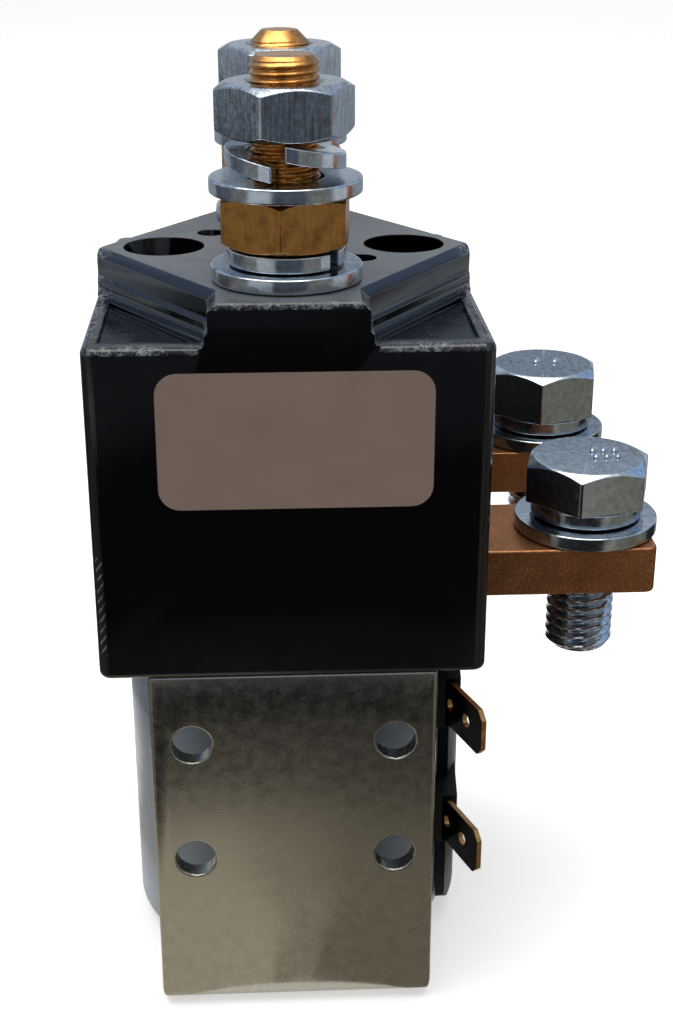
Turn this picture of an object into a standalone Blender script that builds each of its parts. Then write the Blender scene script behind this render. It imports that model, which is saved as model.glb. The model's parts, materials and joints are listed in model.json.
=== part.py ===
"""High voltage DC changeover contactor: moulded contact housing on a folded magnet frame.

Metres, +Z up. The origin is the centre of the magnet frame's underside. The two
threaded studs stand on top along Y, the two side busbars leave towards +X, and the
frame's front leg, with the plain label above it, faces -Y.
"""
import math

import bmesh
import bpy
from mathutils import Matrix, Vector

# Clearance that neighbouring solids keep, and the thin gap under a stuck-on skin
GAP = 0.0003
SKIN_GAP = 0.00005

# Points of one solid that lie closer than this are one point
WELD = 0.000001

# Folded magnet frame
FRAME_WIDTH = 0.042
FRAME_SETBACK = 0.00125
FRAME_THICKNESS = 0.003
FRAME_HEIGHT = 0.0587
FOLD_RADIUS = 0.0042
FRAME_EDGE_ROUND = 0.0006
FRAME_HOLE_DIAMETER = 0.006
FRAME_HOLE_TO_EDGE = 0.006
FRAME_HOLE_LOW_Z = 0.0276
FRAME_HOLE_PITCH_Z = 0.0196

# Yoke plate between the legs, with an ear for each housing screw
YOKE_THICKNESS = 0.003
YOKE_EAR_MARGIN = 0.0076
YOKE_EAR_LENGTH = 0.016

# Coil
COIL_CLEARANCE = 0.0029
WRAP_THICKNESS = 0.0007
BOBBIN_WALL = 0.0014
BOBBIN_FLANGE = 0.0016
GUIDE_TUBE_WALL = 0.0005

# Coil terminals on the +X side
CARRIER_THICKNESS = 0.0016
CARRIER_HALF_ANGLE = math.radians(25.0)
CARRIER_LIFT = 0.0006
CARRIER_CORNER = 0.002
SOCKET_START = math.radians(15.0)
SOCKET_FACE = math.radians(20.0)
TAB_WIDTH = 0.0076
TAB_THICKNESS = 0.0008
TAB_REACH = 0.0111
TAB_EMBED = 0.0034
TAB_HOLE_DIAMETER = 0.0022
TAB_HOLE_PITCH = 0.0051
TAB_TIP_TO_HOLE = 0.0051
TAB_TIP_CHAMFER = 0.0013
TAB_YAW = math.radians(20.3)
TAB_ROOT_ANGLE = math.radians(31.43)
TAB_ROOT_DEPTH = 0.00122
TAB_LOW_Z = 0.0240
TAB_PITCH_Z = 0.0213

# Magnet system
PLUNGER_RADIUS = 0.010
PLUNGER_LENGTH = 0.0259
STOP_THICKNESS = 0.0027
PAD_THICKNESS = 0.001
ARMATURE_TRAVEL = 0.0042
BRIDGE_TRAVEL = 0.0034
POLE_SPIGOT_RADIUS = 0.0085
ROD_RADIUS = 0.003
ROD_PRESS_DEPTH = 0.0117
ROD_COLLAR_RADIUS = 0.0055
ROD_COLLAR_THICKNESS = 0.0014
BUSH_WALL = 0.0018
BUSH_FLANGE_CLEARANCE = 0.0022
BUSH_FLANGE_THICKNESS = 0.0014

# Housing
HOUSING_WIDTH = 0.0555
HOUSING_DEPTH = 0.0665
HOUSING_LEDGE_HEIGHT = 0.049
HOUSING_PLATEAU_RISE = 0.006
HOUSING_CORNER = 0.0018
HOUSING_EDGE_ROUND = 0.0009
HOUSING_LIP_CORNER = 0.0004
PLATEAU_ROOT = 0.0025
HOUSING_WALL = 0.0035
HOUSING_ROOF = 0.007
BOSS_HALF_WIDTH = 0.0108
BOSS_FILLET = 0.0022
PLATEAU_EDGE_CHAMFER = 0.0012
PLATEAU_END_FLAT = 0.0014
PLATEAU_SLOPE = 0.674
STEP_HEIGHT = 0.0021
STEP_OUT = 0.0005
STEP_FILLET = 0.0007
LEDGE_RIM = 0.0022
LEDGE_WALL_RIM = 0.0013
LEDGE_END_RIM = 0.0033
LEDGE_PANEL_DEPTH = 0.0007
WELL_TO_BUSH = 0.00295
WELL_DIAMETER = 0.012
WELL_FLOOR_THICKNESS = 0.013
POST_WALL = 0.0025
PILOT_DIAMETER = 0.0044
PILOT_DEPTH = 0.0045
PILOT_X = 0.011
PILOT_Y = 0.0087

# Housing screws
SCREW_RADIUS = 0.0025
SCREW_HEAD_RADIUS = 0.00425
SCREW_HEAD_HEIGHT = 0.004
SCREW_SOCKET = 0.004
SCREW_SOCKET_DEPTH = 0.0024

# Label plate on the front face
LABEL_WIDTH = 0.0376
LABEL_HEIGHT = 0.0195
LABEL_THICKNESS = 0.00015
LABEL_CORNER = 0.003
LABEL_X = 0.0007
LABEL_MARGIN = 0.0034

# Contact system
INSULATOR_HEIGHT = 0.0097
BUSBAR_WIDTH = 0.018
BUSBAR_THICKNESS = 0.007
BUSBAR_REACH = 0.02495
BUSBAR_INNER_X = -0.008
BUSBAR_CORNER = 0.0016
BUSBAR_HOLE_TO_END = 0.0091
TIP_RADIUS = 0.005
TIP_THICKNESS = 0.0016
BRIDGE_OVERHANG = 0.006
BRIDGE_SIDE_CLEARANCE = 0.0024
BRIDGE_THICKNESS = 0.0035
ROD_NUT_ACROSS_FLATS = 0.009
CLIP_THICKNESS = 0.0026
RETAINER_RADIUS = 0.0062
RETAINER_THICKNESS = 0.0012
CONTACT_SPRING_RADIUS = 0.0047
CONTACT_SPRING_WIRE = 0.0011
CONTACT_SPRING_TURNS = 4.0
RETURN_SPRING_RADIUS = 0.0052
RETURN_SPRING_WIRE = 0.0009
RETURN_SPRING_TURNS = 5.0

# M10 hardware
THREAD_RADIUS = 0.005
HEX_ACROSS_FLATS = 0.0168
NUT_HEIGHT = 0.0068
HEX_CHAMFER_SLOPE = math.tan(math.radians(30.0))
HEX_CHAMFER_INSET = 0.00013
HEX_CONE_OVER = 0.0005
WASHER_RADIUS = 0.01045
WASHER_THICKNESS = 0.0018
LOCK_WASHER_RADIUS = 0.0082
LOCK_WASHER_THICKNESS = 0.0022
LOCK_WASHER_SET = 0.0002
LOCK_WASHER_RISE = 0.0030
FRONT_WASHER_LEAN = 0.0024
REAR_WASHER_LEAN = 0.0010
LOCK_WASHER_GAP = math.radians(13.0)
FRONT_BOLT_HEAD = 0.0060
REAR_BOLT_HEAD = 0.0076
BOLT_LENGTH = 0.024
STUD_COLLAR_RADIUS = 0.0085
STUD_COLLAR_CLEARANCE = 0.00125
STUD_TIP_CHAMFER = 0.0009
FRONT_STUD_PROTRUSION = 0.0035
REAR_STUD_PROTRUSION = 0.0022

# Heights that follow from the sizes above
FLOOR_Z = FRAME_THICKNESS
YOKE_TOP_Z = FRAME_HEIGHT
HOUSING_BOTTOM_Z = FRAME_HEIGHT + GAP
YOKE_BOTTOM_Z = YOKE_TOP_Z - YOKE_THICKNESS
BOBBIN_BOTTOM_Z = FLOOR_Z + GAP
BOBBIN_TOP_Z = YOKE_BOTTOM_Z - GAP
LEDGE_Z = HOUSING_BOTTOM_Z + HOUSING_LEDGE_HEIGHT
PLATEAU_Z = LEDGE_Z + HOUSING_PLATEAU_RISE
ROOF_Z = LEDGE_Z - HOUSING_ROOF
WELL_FLOOR_Z = HOUSING_BOTTOM_Z + WELL_FLOOR_THICKNESS
LABEL_Z = LEDGE_Z - LABEL_MARGIN - LABEL_HEIGHT / 2
INSULATOR_BOTTOM_Z = HOUSING_BOTTOM_Z
INSULATOR_TOP_Z = INSULATOR_BOTTOM_Z + INSULATOR_HEIGHT
BUSBAR_BOTTOM_Z = INSULATOR_TOP_Z + GAP
BUSBAR_TOP_Z = BUSBAR_BOTTOM_Z + BUSBAR_THICKNESS
BUSBAR_TIP_Z = BUSBAR_TOP_Z + GAP
LOWER_TIP_Z = BUSBAR_TIP_Z + TIP_THICKNESS + GAP
BRIDGE_BOTTOM_Z = LOWER_TIP_Z + TIP_THICKNESS + GAP
BRIDGE_TOP_Z = BRIDGE_BOTTOM_Z + BRIDGE_THICKNESS
UPPER_TIP_Z = BRIDGE_TOP_Z + GAP
STUD_TIP_Z = UPPER_TIP_Z + TIP_THICKNESS + BRIDGE_TRAVEL + GAP
STUD_BOTTOM_Z = STUD_TIP_Z + TIP_THICKNESS + GAP
RETAINER_Z = BRIDGE_TOP_Z + GAP
CLIP_Z = RETAINER_Z + RETAINER_THICKNESS + GAP
ROD_COLLAR_Z = INSULATOR_TOP_Z + GAP
STOP_BOTTOM_Z = FLOOR_Z + GAP
PAD_Z = STOP_BOTTOM_Z + STOP_THICKNESS + GAP
PLUNGER_BOTTOM_Z = PAD_Z + PAD_THICKNESS + GAP
PLUNGER_TOP_Z = PLUNGER_BOTTOM_Z + PLUNGER_LENGTH
POLE_BOTTOM_Z = PLUNGER_TOP_Z + ARMATURE_TRAVEL + GAP

# Radii and half sizes that follow from the sizes above
HALF_WIDTH = HOUSING_WIDTH / 2
HALF_DEPTH = HOUSING_DEPTH / 2
STUD_Y = HALF_DEPTH - HOUSING_WALL - STUD_COLLAR_CLEARANCE - STUD_COLLAR_RADIUS
ROD_HOLE = ROD_RADIUS + GAP
BUSH_RADIUS = ROD_HOLE + BUSH_WALL
WELL_X = (HALF_WIDTH + BUSH_RADIUS + WELL_TO_BUSH) / 2
POST_RADIUS = WELL_DIAMETER / 2 + POST_WALL
POST_INNER_X = WELL_X - POST_RADIUS
BUSH_FLANGE_RADIUS = POST_INNER_X - BUSH_FLANGE_CLEARANCE
BUSBAR_END_X = HALF_WIDTH + BUSBAR_REACH
BUSBAR_HOLE_X = BUSBAR_END_X - BUSBAR_HOLE_TO_END
FRAME_DEPTH = HOUSING_DEPTH - 2 * FRAME_SETBACK
FRAME_HOLE_X = FRAME_WIDTH / 2 - FRAME_HOLE_TO_EDGE
COIL_RADIUS = FRAME_DEPTH / 2 - FRAME_THICKNESS - COIL_CLEARANCE
TUBE_INNER = PLUNGER_RADIUS + GAP
TUBE_OUTER = TUBE_INNER + GUIDE_TUBE_WALL
BOBBIN_BORE = TUBE_OUTER + GAP
BOBBIN_CORE = BOBBIN_BORE + BOBBIN_WALL
WRAP_INNER = COIL_RADIUS - WRAP_THICKNESS
FLANGE_RADIUS = WRAP_INNER - GAP
CARRIER_INNER = COIL_RADIUS + GAP
CARRIER_OUTER = CARRIER_INNER + CARRIER_THICKNESS
TAB_ROOT_RADIUS = CARRIER_INNER + TAB_ROOT_DEPTH
TAB_TIP_X = TAB_ROOT_RADIUS * math.cos(TAB_ROOT_ANGLE) + (TAB_REACH + TAB_EMBED) * math.sin(TAB_YAW)
TAB_TIP_Y = -TAB_ROOT_RADIUS * math.sin(TAB_ROOT_ANGLE) - (TAB_REACH + TAB_EMBED) * math.cos(TAB_YAW)
SIDE_SIGNS = (("front", -1), ("rear", 1))


def clear_scene():
    """Remove every object that the start-up file holds."""
    for obj in list(bpy.data.objects):
        bpy.data.objects.remove(obj, do_unlink=True)


def finish(name, colour, roughness, metallic=0.0):
    """Return a Principled material with a plain colour."""
    mat = bpy.data.materials.get(name) or bpy.data.materials.new(name)
    mat.use_nodes = True
    shader = mat.node_tree.nodes["Principled BSDF"]
    shader.inputs["Base Color"].default_value = (*colour, 1.0)
    shader.inputs["Roughness"].default_value = roughness
    shader.inputs["Metallic"].default_value = metallic
    return mat


def zinc():
    return finish("zinc_plated_steel", (0.62, 0.66, 0.70), 0.28, 1.0)


def frame_steel():
    return finish("passivated_frame_steel", (0.42, 0.42, 0.38), 0.45, 1.0)


def soft_iron():
    return finish("soft_iron", (0.50, 0.50, 0.50), 0.40, 1.0)


def phenolic():
    return finish("black_phenolic", (0.012, 0.012, 0.013), 0.22)


def black_nylon():
    return finish("black_nylon", (0.02, 0.02, 0.022), 0.45)


def bush_plastic():
    return finish("bush_plastic", (0.78, 0.76, 0.70), 0.40)


def copper():
    return finish("copper", (0.42, 0.16, 0.08), 0.40, 1.0)


def brass():
    return finish("brass", (0.62, 0.40, 0.12), 0.32, 1.0)


def silver():
    return finish("silver_alloy", (0.80, 0.79, 0.76), 0.35, 1.0)


def spring_steel():
    return finish("spring_steel", (0.40, 0.42, 0.45), 0.30, 1.0)


def film_wrap():
    return finish("grey_film_wrap", (0.34, 0.38, 0.42), 0.25)


def enamelled_wire():
    return finish("enamelled_wire", (0.45, 0.15, 0.05), 0.35)


def label_film():
    return finish("label_film", (0.22, 0.17, 0.15), 0.40)


def new_object(name, bm, mat):
    """Turn a bmesh into a named object with its faces pointing out."""
    bmesh.ops.recalc_face_normals(bm, faces=bm.faces)
    mesh = bpy.data.meshes.new(name)
    bm.to_mesh(mesh)
    bm.free()
    if mat is not None:
        mesh.materials.append(mat)
    mesh.shade_smooth()
    mesh.set_sharp_from_angle(angle=math.radians(35.0))
    obj = bpy.data.objects.new(name, mesh)
    bpy.context.scene.collection.objects.link(obj)
    return obj


def loft(name, layers, mat=None, turn=None):
    """Close a stack of equal outlines, each given as (height, [(x, y), ...])."""
    bm = bmesh.new()
    rings = [[bm.verts.new((x, y, z)) for x, y in outline] for z, outline in layers]
    for low, high in zip(rings, rings[1:]):
        for i in range(len(low)):
            j = (i + 1) % len(low)
            bm.faces.new((low[i], low[j], high[j], high[i]))
    bm.faces.new(list(reversed(rings[0])))
    bm.faces.new(rings[-1])
    if turn is not None:
        bmesh.ops.transform(bm, matrix=turn, verts=bm.verts)
    return new_object(name, bm, mat)


def lathe(name, profile, mat=None, centre=(0.0, 0.0), steps=32):
    """Turn a closed (radius, height) profile about a vertical axis through centre."""
    bm = bmesh.new()
    rings = []
    for radius, z in profile:
        if radius < 1e-9:
            rings.append([bm.verts.new((centre[0], centre[1], z))])
            continue
        ring = []
        for k in range(steps):
            a = 2 * math.pi * k / steps
            ring.append(bm.verts.new((centre[0] + radius * math.cos(a), centre[1] + radius * math.sin(a), z)))
        rings.append(ring)
    for one, two in zip(rings, rings[1:] + rings[:1]):
        if len(one) == 1 and len(two) == 1:
            continue
        for k in range(steps):
            n = (k + 1) % steps
            corners = [one[k % len(one)], one[n % len(one)], two[n % len(two)], two[k % len(two)]]
            unique = list(dict.fromkeys(corners))
            bm.faces.new(unique)
    return new_object(name, bm, mat)


def ring_profile(inner, outer, z0, z1):
    return [(inner, z0), (outer, z0), (outer, z1), (inner, z1)]


def disc_profile(radius, z0, z1):
    return [(0.0, z0), (radius, z0), (radius, z1), (0.0, z1)]


def arc_points(cx, cy, radius, start, end, steps):
    """Return points on an arc, both ends included."""
    points = []
    for k in range(steps + 1):
        a = start + (end - start) * k / steps
        points.append((cx + radius * math.cos(a), cy + radius * math.sin(a)))
    return points


def rounded_box_outline(x0, x1, y0, y1, radius, steps=4):
    """Return a rectangle with round corners, counter-clockwise from the +X -Y corner."""
    half = math.pi / 2
    corners = ((x1 - radius, y0 + radius, -half), (x1 - radius, y1 - radius, 0.0),
               (x0 + radius, y1 - radius, half), (x0 + radius, y0 + radius, math.pi))
    points = []
    for cx, cy, start in corners:
        points += arc_points(cx, cy, radius, start, start + half, steps)
    return points


def box_outline(x0, x1, y0, y1):
    return [(x0, y0), (x1, y0), (x1, y1), (x0, y1)]


def block(name, low, high, mat=None):
    return loft(name, [(low[2], box_outline(low[0], high[0], low[1], high[1])),
                       (high[2], box_outline(low[0], high[0], low[1], high[1]))], mat)


def combine(target, tools, operation):
    """Apply one Boolean per tool to the target, then delete the tools."""
    for tool in tools:
        tool.hide_render = True
        tool.display_type = "WIRE"
        step = target.modifiers.new(operation.lower(), "BOOLEAN")
        step.operation = operation
        step.solver = "EXACT"
        step.object = tool
    bpy.context.view_layer.update()
    graph = bpy.context.evaluated_depsgraph_get()
    mesh = bpy.data.meshes.new_from_object(target.evaluated_get(graph))
    bm = bmesh.new()
    bm.from_mesh(mesh)
    bmesh.ops.remove_doubles(bm, verts=bm.verts, dist=WELD)
    bm.to_mesh(mesh)
    bm.free()
    target.modifiers.clear()
    target.data = mesh
    for tool in tools:
        bpy.data.objects.remove(tool, do_unlink=True)
    return target


def cut(target, *tools):
    return combine(target, tools, "DIFFERENCE")


def unite(target, *tools):
    return combine(target, tools, "UNION")


def side_hole(x, y, z, diameter, length):
    """Return a cutter: a round bar along Y, centred on the point."""
    turn = Matrix.Translation((x, y, z)) @ Matrix.Rotation(math.pi / 2, 4, "X")
    outline = arc_points(0.0, 0.0, diameter / 2, 0.0, 2 * math.pi, 20)[:-1]
    return loft("side_hole", [(-length / 2, outline), (length / 2, outline)], turn=turn)


def magnet_frame():
    """One strip folded to a U, with four mounting holes in each leg."""
    half = FRAME_DEPTH / 2
    inner_radius = FOLD_RADIUS - FRAME_THICKNESS
    outline = [(-half, FRAME_HEIGHT)]
    outline += arc_points(-half + FOLD_RADIUS, FOLD_RADIUS, FOLD_RADIUS, math.pi, 1.5 * math.pi, 6)
    outline += arc_points(half - FOLD_RADIUS, FOLD_RADIUS, FOLD_RADIUS, 1.5 * math.pi, 2 * math.pi, 6)
    outline.append((half, FRAME_HEIGHT))
    outline.append((half - FRAME_THICKNESS, FRAME_HEIGHT))
    outline += arc_points(half - FOLD_RADIUS, FOLD_RADIUS, inner_radius, 2 * math.pi, 1.5 * math.pi, 6)
    outline += arc_points(-half + FOLD_RADIUS, FOLD_RADIUS, inner_radius, 1.5 * math.pi, math.pi, 6)
    outline.append((-half + FRAME_THICKNESS, FRAME_HEIGHT))
    stand = Matrix(((0, 0, 1, 0), (1, 0, 0, 0), (0, 1, 0, 0), (0, 0, 0, 1)))
    ends = [(-FRAME_WIDTH / 2, outline), (FRAME_WIDTH / 2, outline)]
    frame = loft("magnet_frame", ends, frame_steel(), stand)
    edge = frame.modifiers.new("edge_round", "BEVEL")
    edge.width = FRAME_EDGE_ROUND
    edge.segments = 2
    edge.limit_method = "ANGLE"
    edge.angle_limit = math.radians(50.0)
    holes = []
    for row in (0, 1):
        z = FRAME_HOLE_LOW_Z + row * FRAME_HOLE_PITCH_Z
        for sign in (-1, 1):
            for leg in (-1, 1):
                x = sign * FRAME_HOLE_X
                y = leg * (half - FRAME_THICKNESS / 2)
                holes.append(side_hole(x, y, z, FRAME_HOLE_DIAMETER, 2 * FRAME_THICKNESS))
    return cut(frame, *holes)


def plug(radius, z0, z1, centre=(0.0, 0.0), steps=28):
    """Return a round upright cutter."""
    return lathe("plug", disc_profile(radius, z0, z1), centre=centre, steps=steps)


def yoke_plate():
    """Flat plate between the legs that carries the pole piece and the housing screws."""
    reach_y = FRAME_DEPTH / 2 - FRAME_THICKNESS - GAP
    half = FRAME_WIDTH / 2
    ear = YOKE_EAR_LENGTH / 2
    tip = WELL_X + YOKE_EAR_MARGIN
    outline = [(-half, -reach_y), (half, -reach_y), (half, -ear), (tip, -ear),
               (tip, ear), (half, ear), (half, reach_y), (-half, reach_y),
               (-half, ear), (-tip, ear), (-tip, -ear), (-half, -ear)]
    plate = loft("yoke_plate", [(YOKE_BOTTOM_Z, outline), (YOKE_TOP_Z, outline)], frame_steel())
    low, high = YOKE_BOTTOM_Z - YOKE_THICKNESS, YOKE_TOP_Z + YOKE_THICKNESS
    tools = [plug(POLE_SPIGOT_RADIUS + GAP, low, high)]
    for sign in (-1, 1):
        tools.append(plug(SCREW_RADIUS + GAP, low, high, (sign * WELL_X, 0.0), 16))
    return cut(plate, *tools)


def coil():
    """Bobbin, winding, film wrap and the brass tube that the plunger slides in."""
    z0, z1 = BOBBIN_BOTTOM_Z, BOBBIN_TOP_Z
    inner0, inner1 = z0 + BOBBIN_FLANGE, z1 - BOBBIN_FLANGE
    lower = [(BOBBIN_BORE, z0), (FLANGE_RADIUS, z0), (FLANGE_RADIUS, inner0), (BOBBIN_CORE, inner0)]
    upper = [(BOBBIN_CORE, inner1), (FLANGE_RADIUS, inner1), (FLANGE_RADIUS, z1), (BOBBIN_BORE, z1)]
    lathe("coil_bobbin", lower + upper, black_nylon(), steps=28)
    lathe("coil_winding", ring_profile(BOBBIN_CORE + GAP, FLANGE_RADIUS - GAP, inner0 + GAP, inner1 - GAP),
          enamelled_wire(), steps=28)
    lathe("coil_wrap", ring_profile(WRAP_INNER, COIL_RADIUS, z0, z1), film_wrap(), steps=48)
    lathe("guide_tube", ring_profile(TUBE_INNER, TUBE_OUTER, z0, z1), brass(), steps=20)


def tab_frame(z):
    """Return the matrix that puts a flat tab, drawn along +X with its tip at 0, at its place."""
    along = Vector((math.sin(TAB_YAW), -math.cos(TAB_YAW), 0.0))
    across = Vector((0.0, 0.0, 1.0))
    normal = along.cross(across)
    place = Matrix((along, across, normal)).transposed().to_4x4()
    return Matrix.Translation((TAB_TIP_X, TAB_TIP_Y, z)) @ place


def spade_terminal(name, z):
    """Flat brass tab with two holes and a tapered tip."""
    half, c = TAB_WIDTH / 2, TAB_TIP_CHAMFER
    root = -TAB_REACH - TAB_EMBED
    outline = [(root, -half), (-c, -half), (0.0, -half + c), (0.0, half - c), (-c, half), (root, half)]
    turn = tab_frame(z)
    tab = loft(name, [(-TAB_THICKNESS / 2, outline), (TAB_THICKNESS / 2, outline)], brass(), turn)
    tools = []
    for k in (0, 1):
        x = -TAB_TIP_TO_HOLE - k * TAB_HOLE_PITCH
        ring = arc_points(x, 0.0, TAB_HOLE_DIAMETER / 2, 0.0, 2 * math.pi, 18)[:-1]
        tools.append(loft("tab_hole", [(-TAB_THICKNESS, ring), (TAB_THICKNESS, ring)], turn=turn))
    return cut(tab, *tools)


def terminal_carrier():
    """Moulded strip curved round the coil, with a socket block behind each tab."""
    z0 = BOBBIN_BOTTOM_Z + CARRIER_LIFT
    z1 = BOBBIN_TOP_Z
    a = CARRIER_HALF_ANGLE
    outline = arc_points(0.0, 0.0, CARRIER_OUTER, -a, a, 12) + arc_points(0.0, 0.0, CARRIER_INNER, a, -a, 12)
    carrier = loft("terminal_carrier", [(z0, outline), (z1, outline)], black_nylon())
    root = Vector((TAB_TIP_X, TAB_TIP_Y)) - TAB_REACH * Vector((math.sin(TAB_YAW), -math.cos(TAB_YAW)))
    inner_angle = math.asin(-root.y / CARRIER_INNER)
    plan = arc_points(0.0, 0.0, CARRIER_INNER, -SOCKET_START, -inner_angle, 8)
    plan.append((CARRIER_OUTER * math.cos(SOCKET_FACE), root.y))
    plan.append((CARRIER_OUTER * math.cos(SOCKET_START), -CARRIER_OUTER * math.sin(SOCKET_START)))
    half = TAB_WIDTH / 2
    sockets = []
    slots = []
    for k in (0, 1):
        z = TAB_LOW_Z + k * TAB_PITCH_Z
        sockets.append(loft("socket_block", [(z - half - GAP * 2, plan), (z + half + GAP * 2, plan)]))
        deep = -TAB_REACH - TAB_EMBED - GAP
        slot = box_outline(deep, 0.0, -half - GAP, half + GAP)
        thick = TAB_THICKNESS / 2 + GAP
        slots.append(loft("tab_slot", [(-thick, slot), (thick, slot)], turn=tab_frame(z)))
    unite(carrier, *sockets)
    return cut(carrier, *slots, carrier_corner(-1, z0), carrier_corner(1, z0))


def carrier_corner(sign, z0):
    """Return the cutter that rounds one lower corner of the terminal strip."""
    edge = CARRIER_OUTER * math.sin(CARRIER_HALF_ANGLE)
    r = CARRIER_CORNER
    points = [(edge + r, z0 - r), (edge + r, z0 + r)]
    points += arc_points(edge - r, z0 + r, r, 0.0, -math.pi / 2, 5) + [(edge - r, z0 - r)]
    outline = [(sign * y, z) for y, z in points]
    stand = Matrix(((0, 0, 1, 0), (1, 0, 0, 0), (0, 1, 0, 0), (0, 0, 0, 1)))
    ends = [(CARRIER_INNER / 2, outline), (CARRIER_OUTER + CARRIER_THICKNESS, outline)]
    return loft("carrier_corner", ends, turn=stand)


def magnet_core():
    """Fixed pole piece, lower stop and its pad."""
    shoulder = BOBBIN_TOP_Z
    body = [(ROD_HOLE, POLE_BOTTOM_Z), (PLUNGER_RADIUS, POLE_BOTTOM_Z), (PLUNGER_RADIUS, shoulder)]
    spigot = [(POLE_SPIGOT_RADIUS, shoulder), (POLE_SPIGOT_RADIUS, YOKE_TOP_Z), (ROD_HOLE, YOKE_TOP_Z)]
    lathe("pole_piece", body + spigot, soft_iron(), steps=20)
    stop = disc_profile(PLUNGER_RADIUS, STOP_BOTTOM_Z, STOP_BOTTOM_Z + STOP_THICKNESS)
    lathe("lower_stop", stop, soft_iron(), steps=20)
    lathe("stop_pad", disc_profile(PLUNGER_RADIUS, PAD_Z, PAD_Z + PAD_THICKNESS), black_nylon(), steps=20)


def armature():
    """Plunger and push rod, with the washer and nut that hold the bridge on the rod."""
    socket_z = PLUNGER_TOP_Z - ROD_PRESS_DEPTH
    body = [(0.0, PLUNGER_BOTTOM_Z), (PLUNGER_RADIUS, PLUNGER_BOTTOM_Z), (PLUNGER_RADIUS, PLUNGER_TOP_Z)]
    socket = [(ROD_HOLE, PLUNGER_TOP_Z), (ROD_HOLE, socket_z), (0.0, socket_z)]
    lathe("plunger", body + socket, soft_iron(), steps=20)
    rod_top = CLIP_Z + CLIP_THICKNESS + ROD_RADIUS / 2
    collar_top = ROD_COLLAR_Z + ROD_COLLAR_THICKNESS
    shank = [(0.0, socket_z + GAP), (ROD_RADIUS, socket_z + GAP), (ROD_RADIUS, ROD_COLLAR_Z)]
    collar = [(ROD_COLLAR_RADIUS, ROD_COLLAR_Z), (ROD_COLLAR_RADIUS, collar_top), (ROD_RADIUS, collar_top)]
    lathe("push_rod", shank + collar + [(ROD_RADIUS, rod_top), (0.0, rod_top)], zinc(), steps=20)
    lathe("rod_washer", ring_profile(ROD_HOLE, RETAINER_RADIUS, RETAINER_Z, RETAINER_Z + RETAINER_THICKNESS),
          zinc(), steps=20)
    hexagon_piece("rod_nut", (0.0, 0.0), CLIP_Z, CLIP_THICKNESS, ROD_NUT_ACROSS_FLATS, ROD_HOLE, 0.0, zinc(),
                  steps=18)


def coil_spring(name, radius, wire, turns, z0, z1, mat):
    """Round wire wound at an even pitch, its ends a wire's width inside z0 and z1."""
    sides, per_turn = 5, 12
    count = round(turns * per_turn)
    low, high = z0 + wire, z1 - wire
    bm = bmesh.new()
    rings = []
    for k in range(count + 1):
        a = 2 * math.pi * k / per_turn
        centre_z = low + (high - low) * k / count
        ring = []
        for s in range(sides):
            b = 2 * math.pi * s / sides
            r = radius + wire * math.cos(b)
            ring.append(bm.verts.new((r * math.cos(a), r * math.sin(a), centre_z + wire * math.sin(b))))
        rings.append(ring)
    for one, two in zip(rings, rings[1:]):
        for s in range(sides):
            n = (s + 1) % sides
            bm.faces.new((one[s], one[n], two[n], two[s]))
    bm.faces.new(list(reversed(rings[0])))
    bm.faces.new(rings[-1])
    return new_object(name, bm, mat)


def springs():
    coil_spring("contact_spring", CONTACT_SPRING_RADIUS, CONTACT_SPRING_WIRE / 2, CONTACT_SPRING_TURNS,
                ROD_COLLAR_Z + ROD_COLLAR_THICKNESS + GAP, BRIDGE_BOTTOM_Z - GAP, spring_steel())
    coil_spring("return_spring", RETURN_SPRING_RADIUS, RETURN_SPRING_WIRE / 2, RETURN_SPRING_TURNS,
                CLIP_Z + CLIP_THICKNESS + GAP, ROOF_Z - GAP, spring_steel())


def contact_tip(name, sign, z):
    return lathe(name, disc_profile(TIP_RADIUS, z, z + TIP_THICKNESS), silver(), (0.0, sign * STUD_Y), 18)


def contact_bridge():
    """Moving copper bar with a contact tip on each face of each end."""
    half_x, half_y = POST_INNER_X - BRIDGE_SIDE_CLEARANCE, STUD_Y + BRIDGE_OVERHANG
    outline = rounded_box_outline(-half_x, half_x, -half_y, half_y, BUSBAR_CORNER)
    bar = loft("contact_bridge", [(BRIDGE_BOTTOM_Z, outline), (BRIDGE_TOP_Z, outline)], copper())
    over = BRIDGE_THICKNESS
    cut(bar, plug(ROD_HOLE, BRIDGE_BOTTOM_Z - over, BRIDGE_TOP_Z + over, steps=20))
    for word, sign in SIDE_SIGNS:
        for level, z in (("lower", LOWER_TIP_Z), ("upper", UPPER_TIP_Z)):
            contact_tip(f"bridge_tip_{level}_{word}", sign, z)


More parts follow.
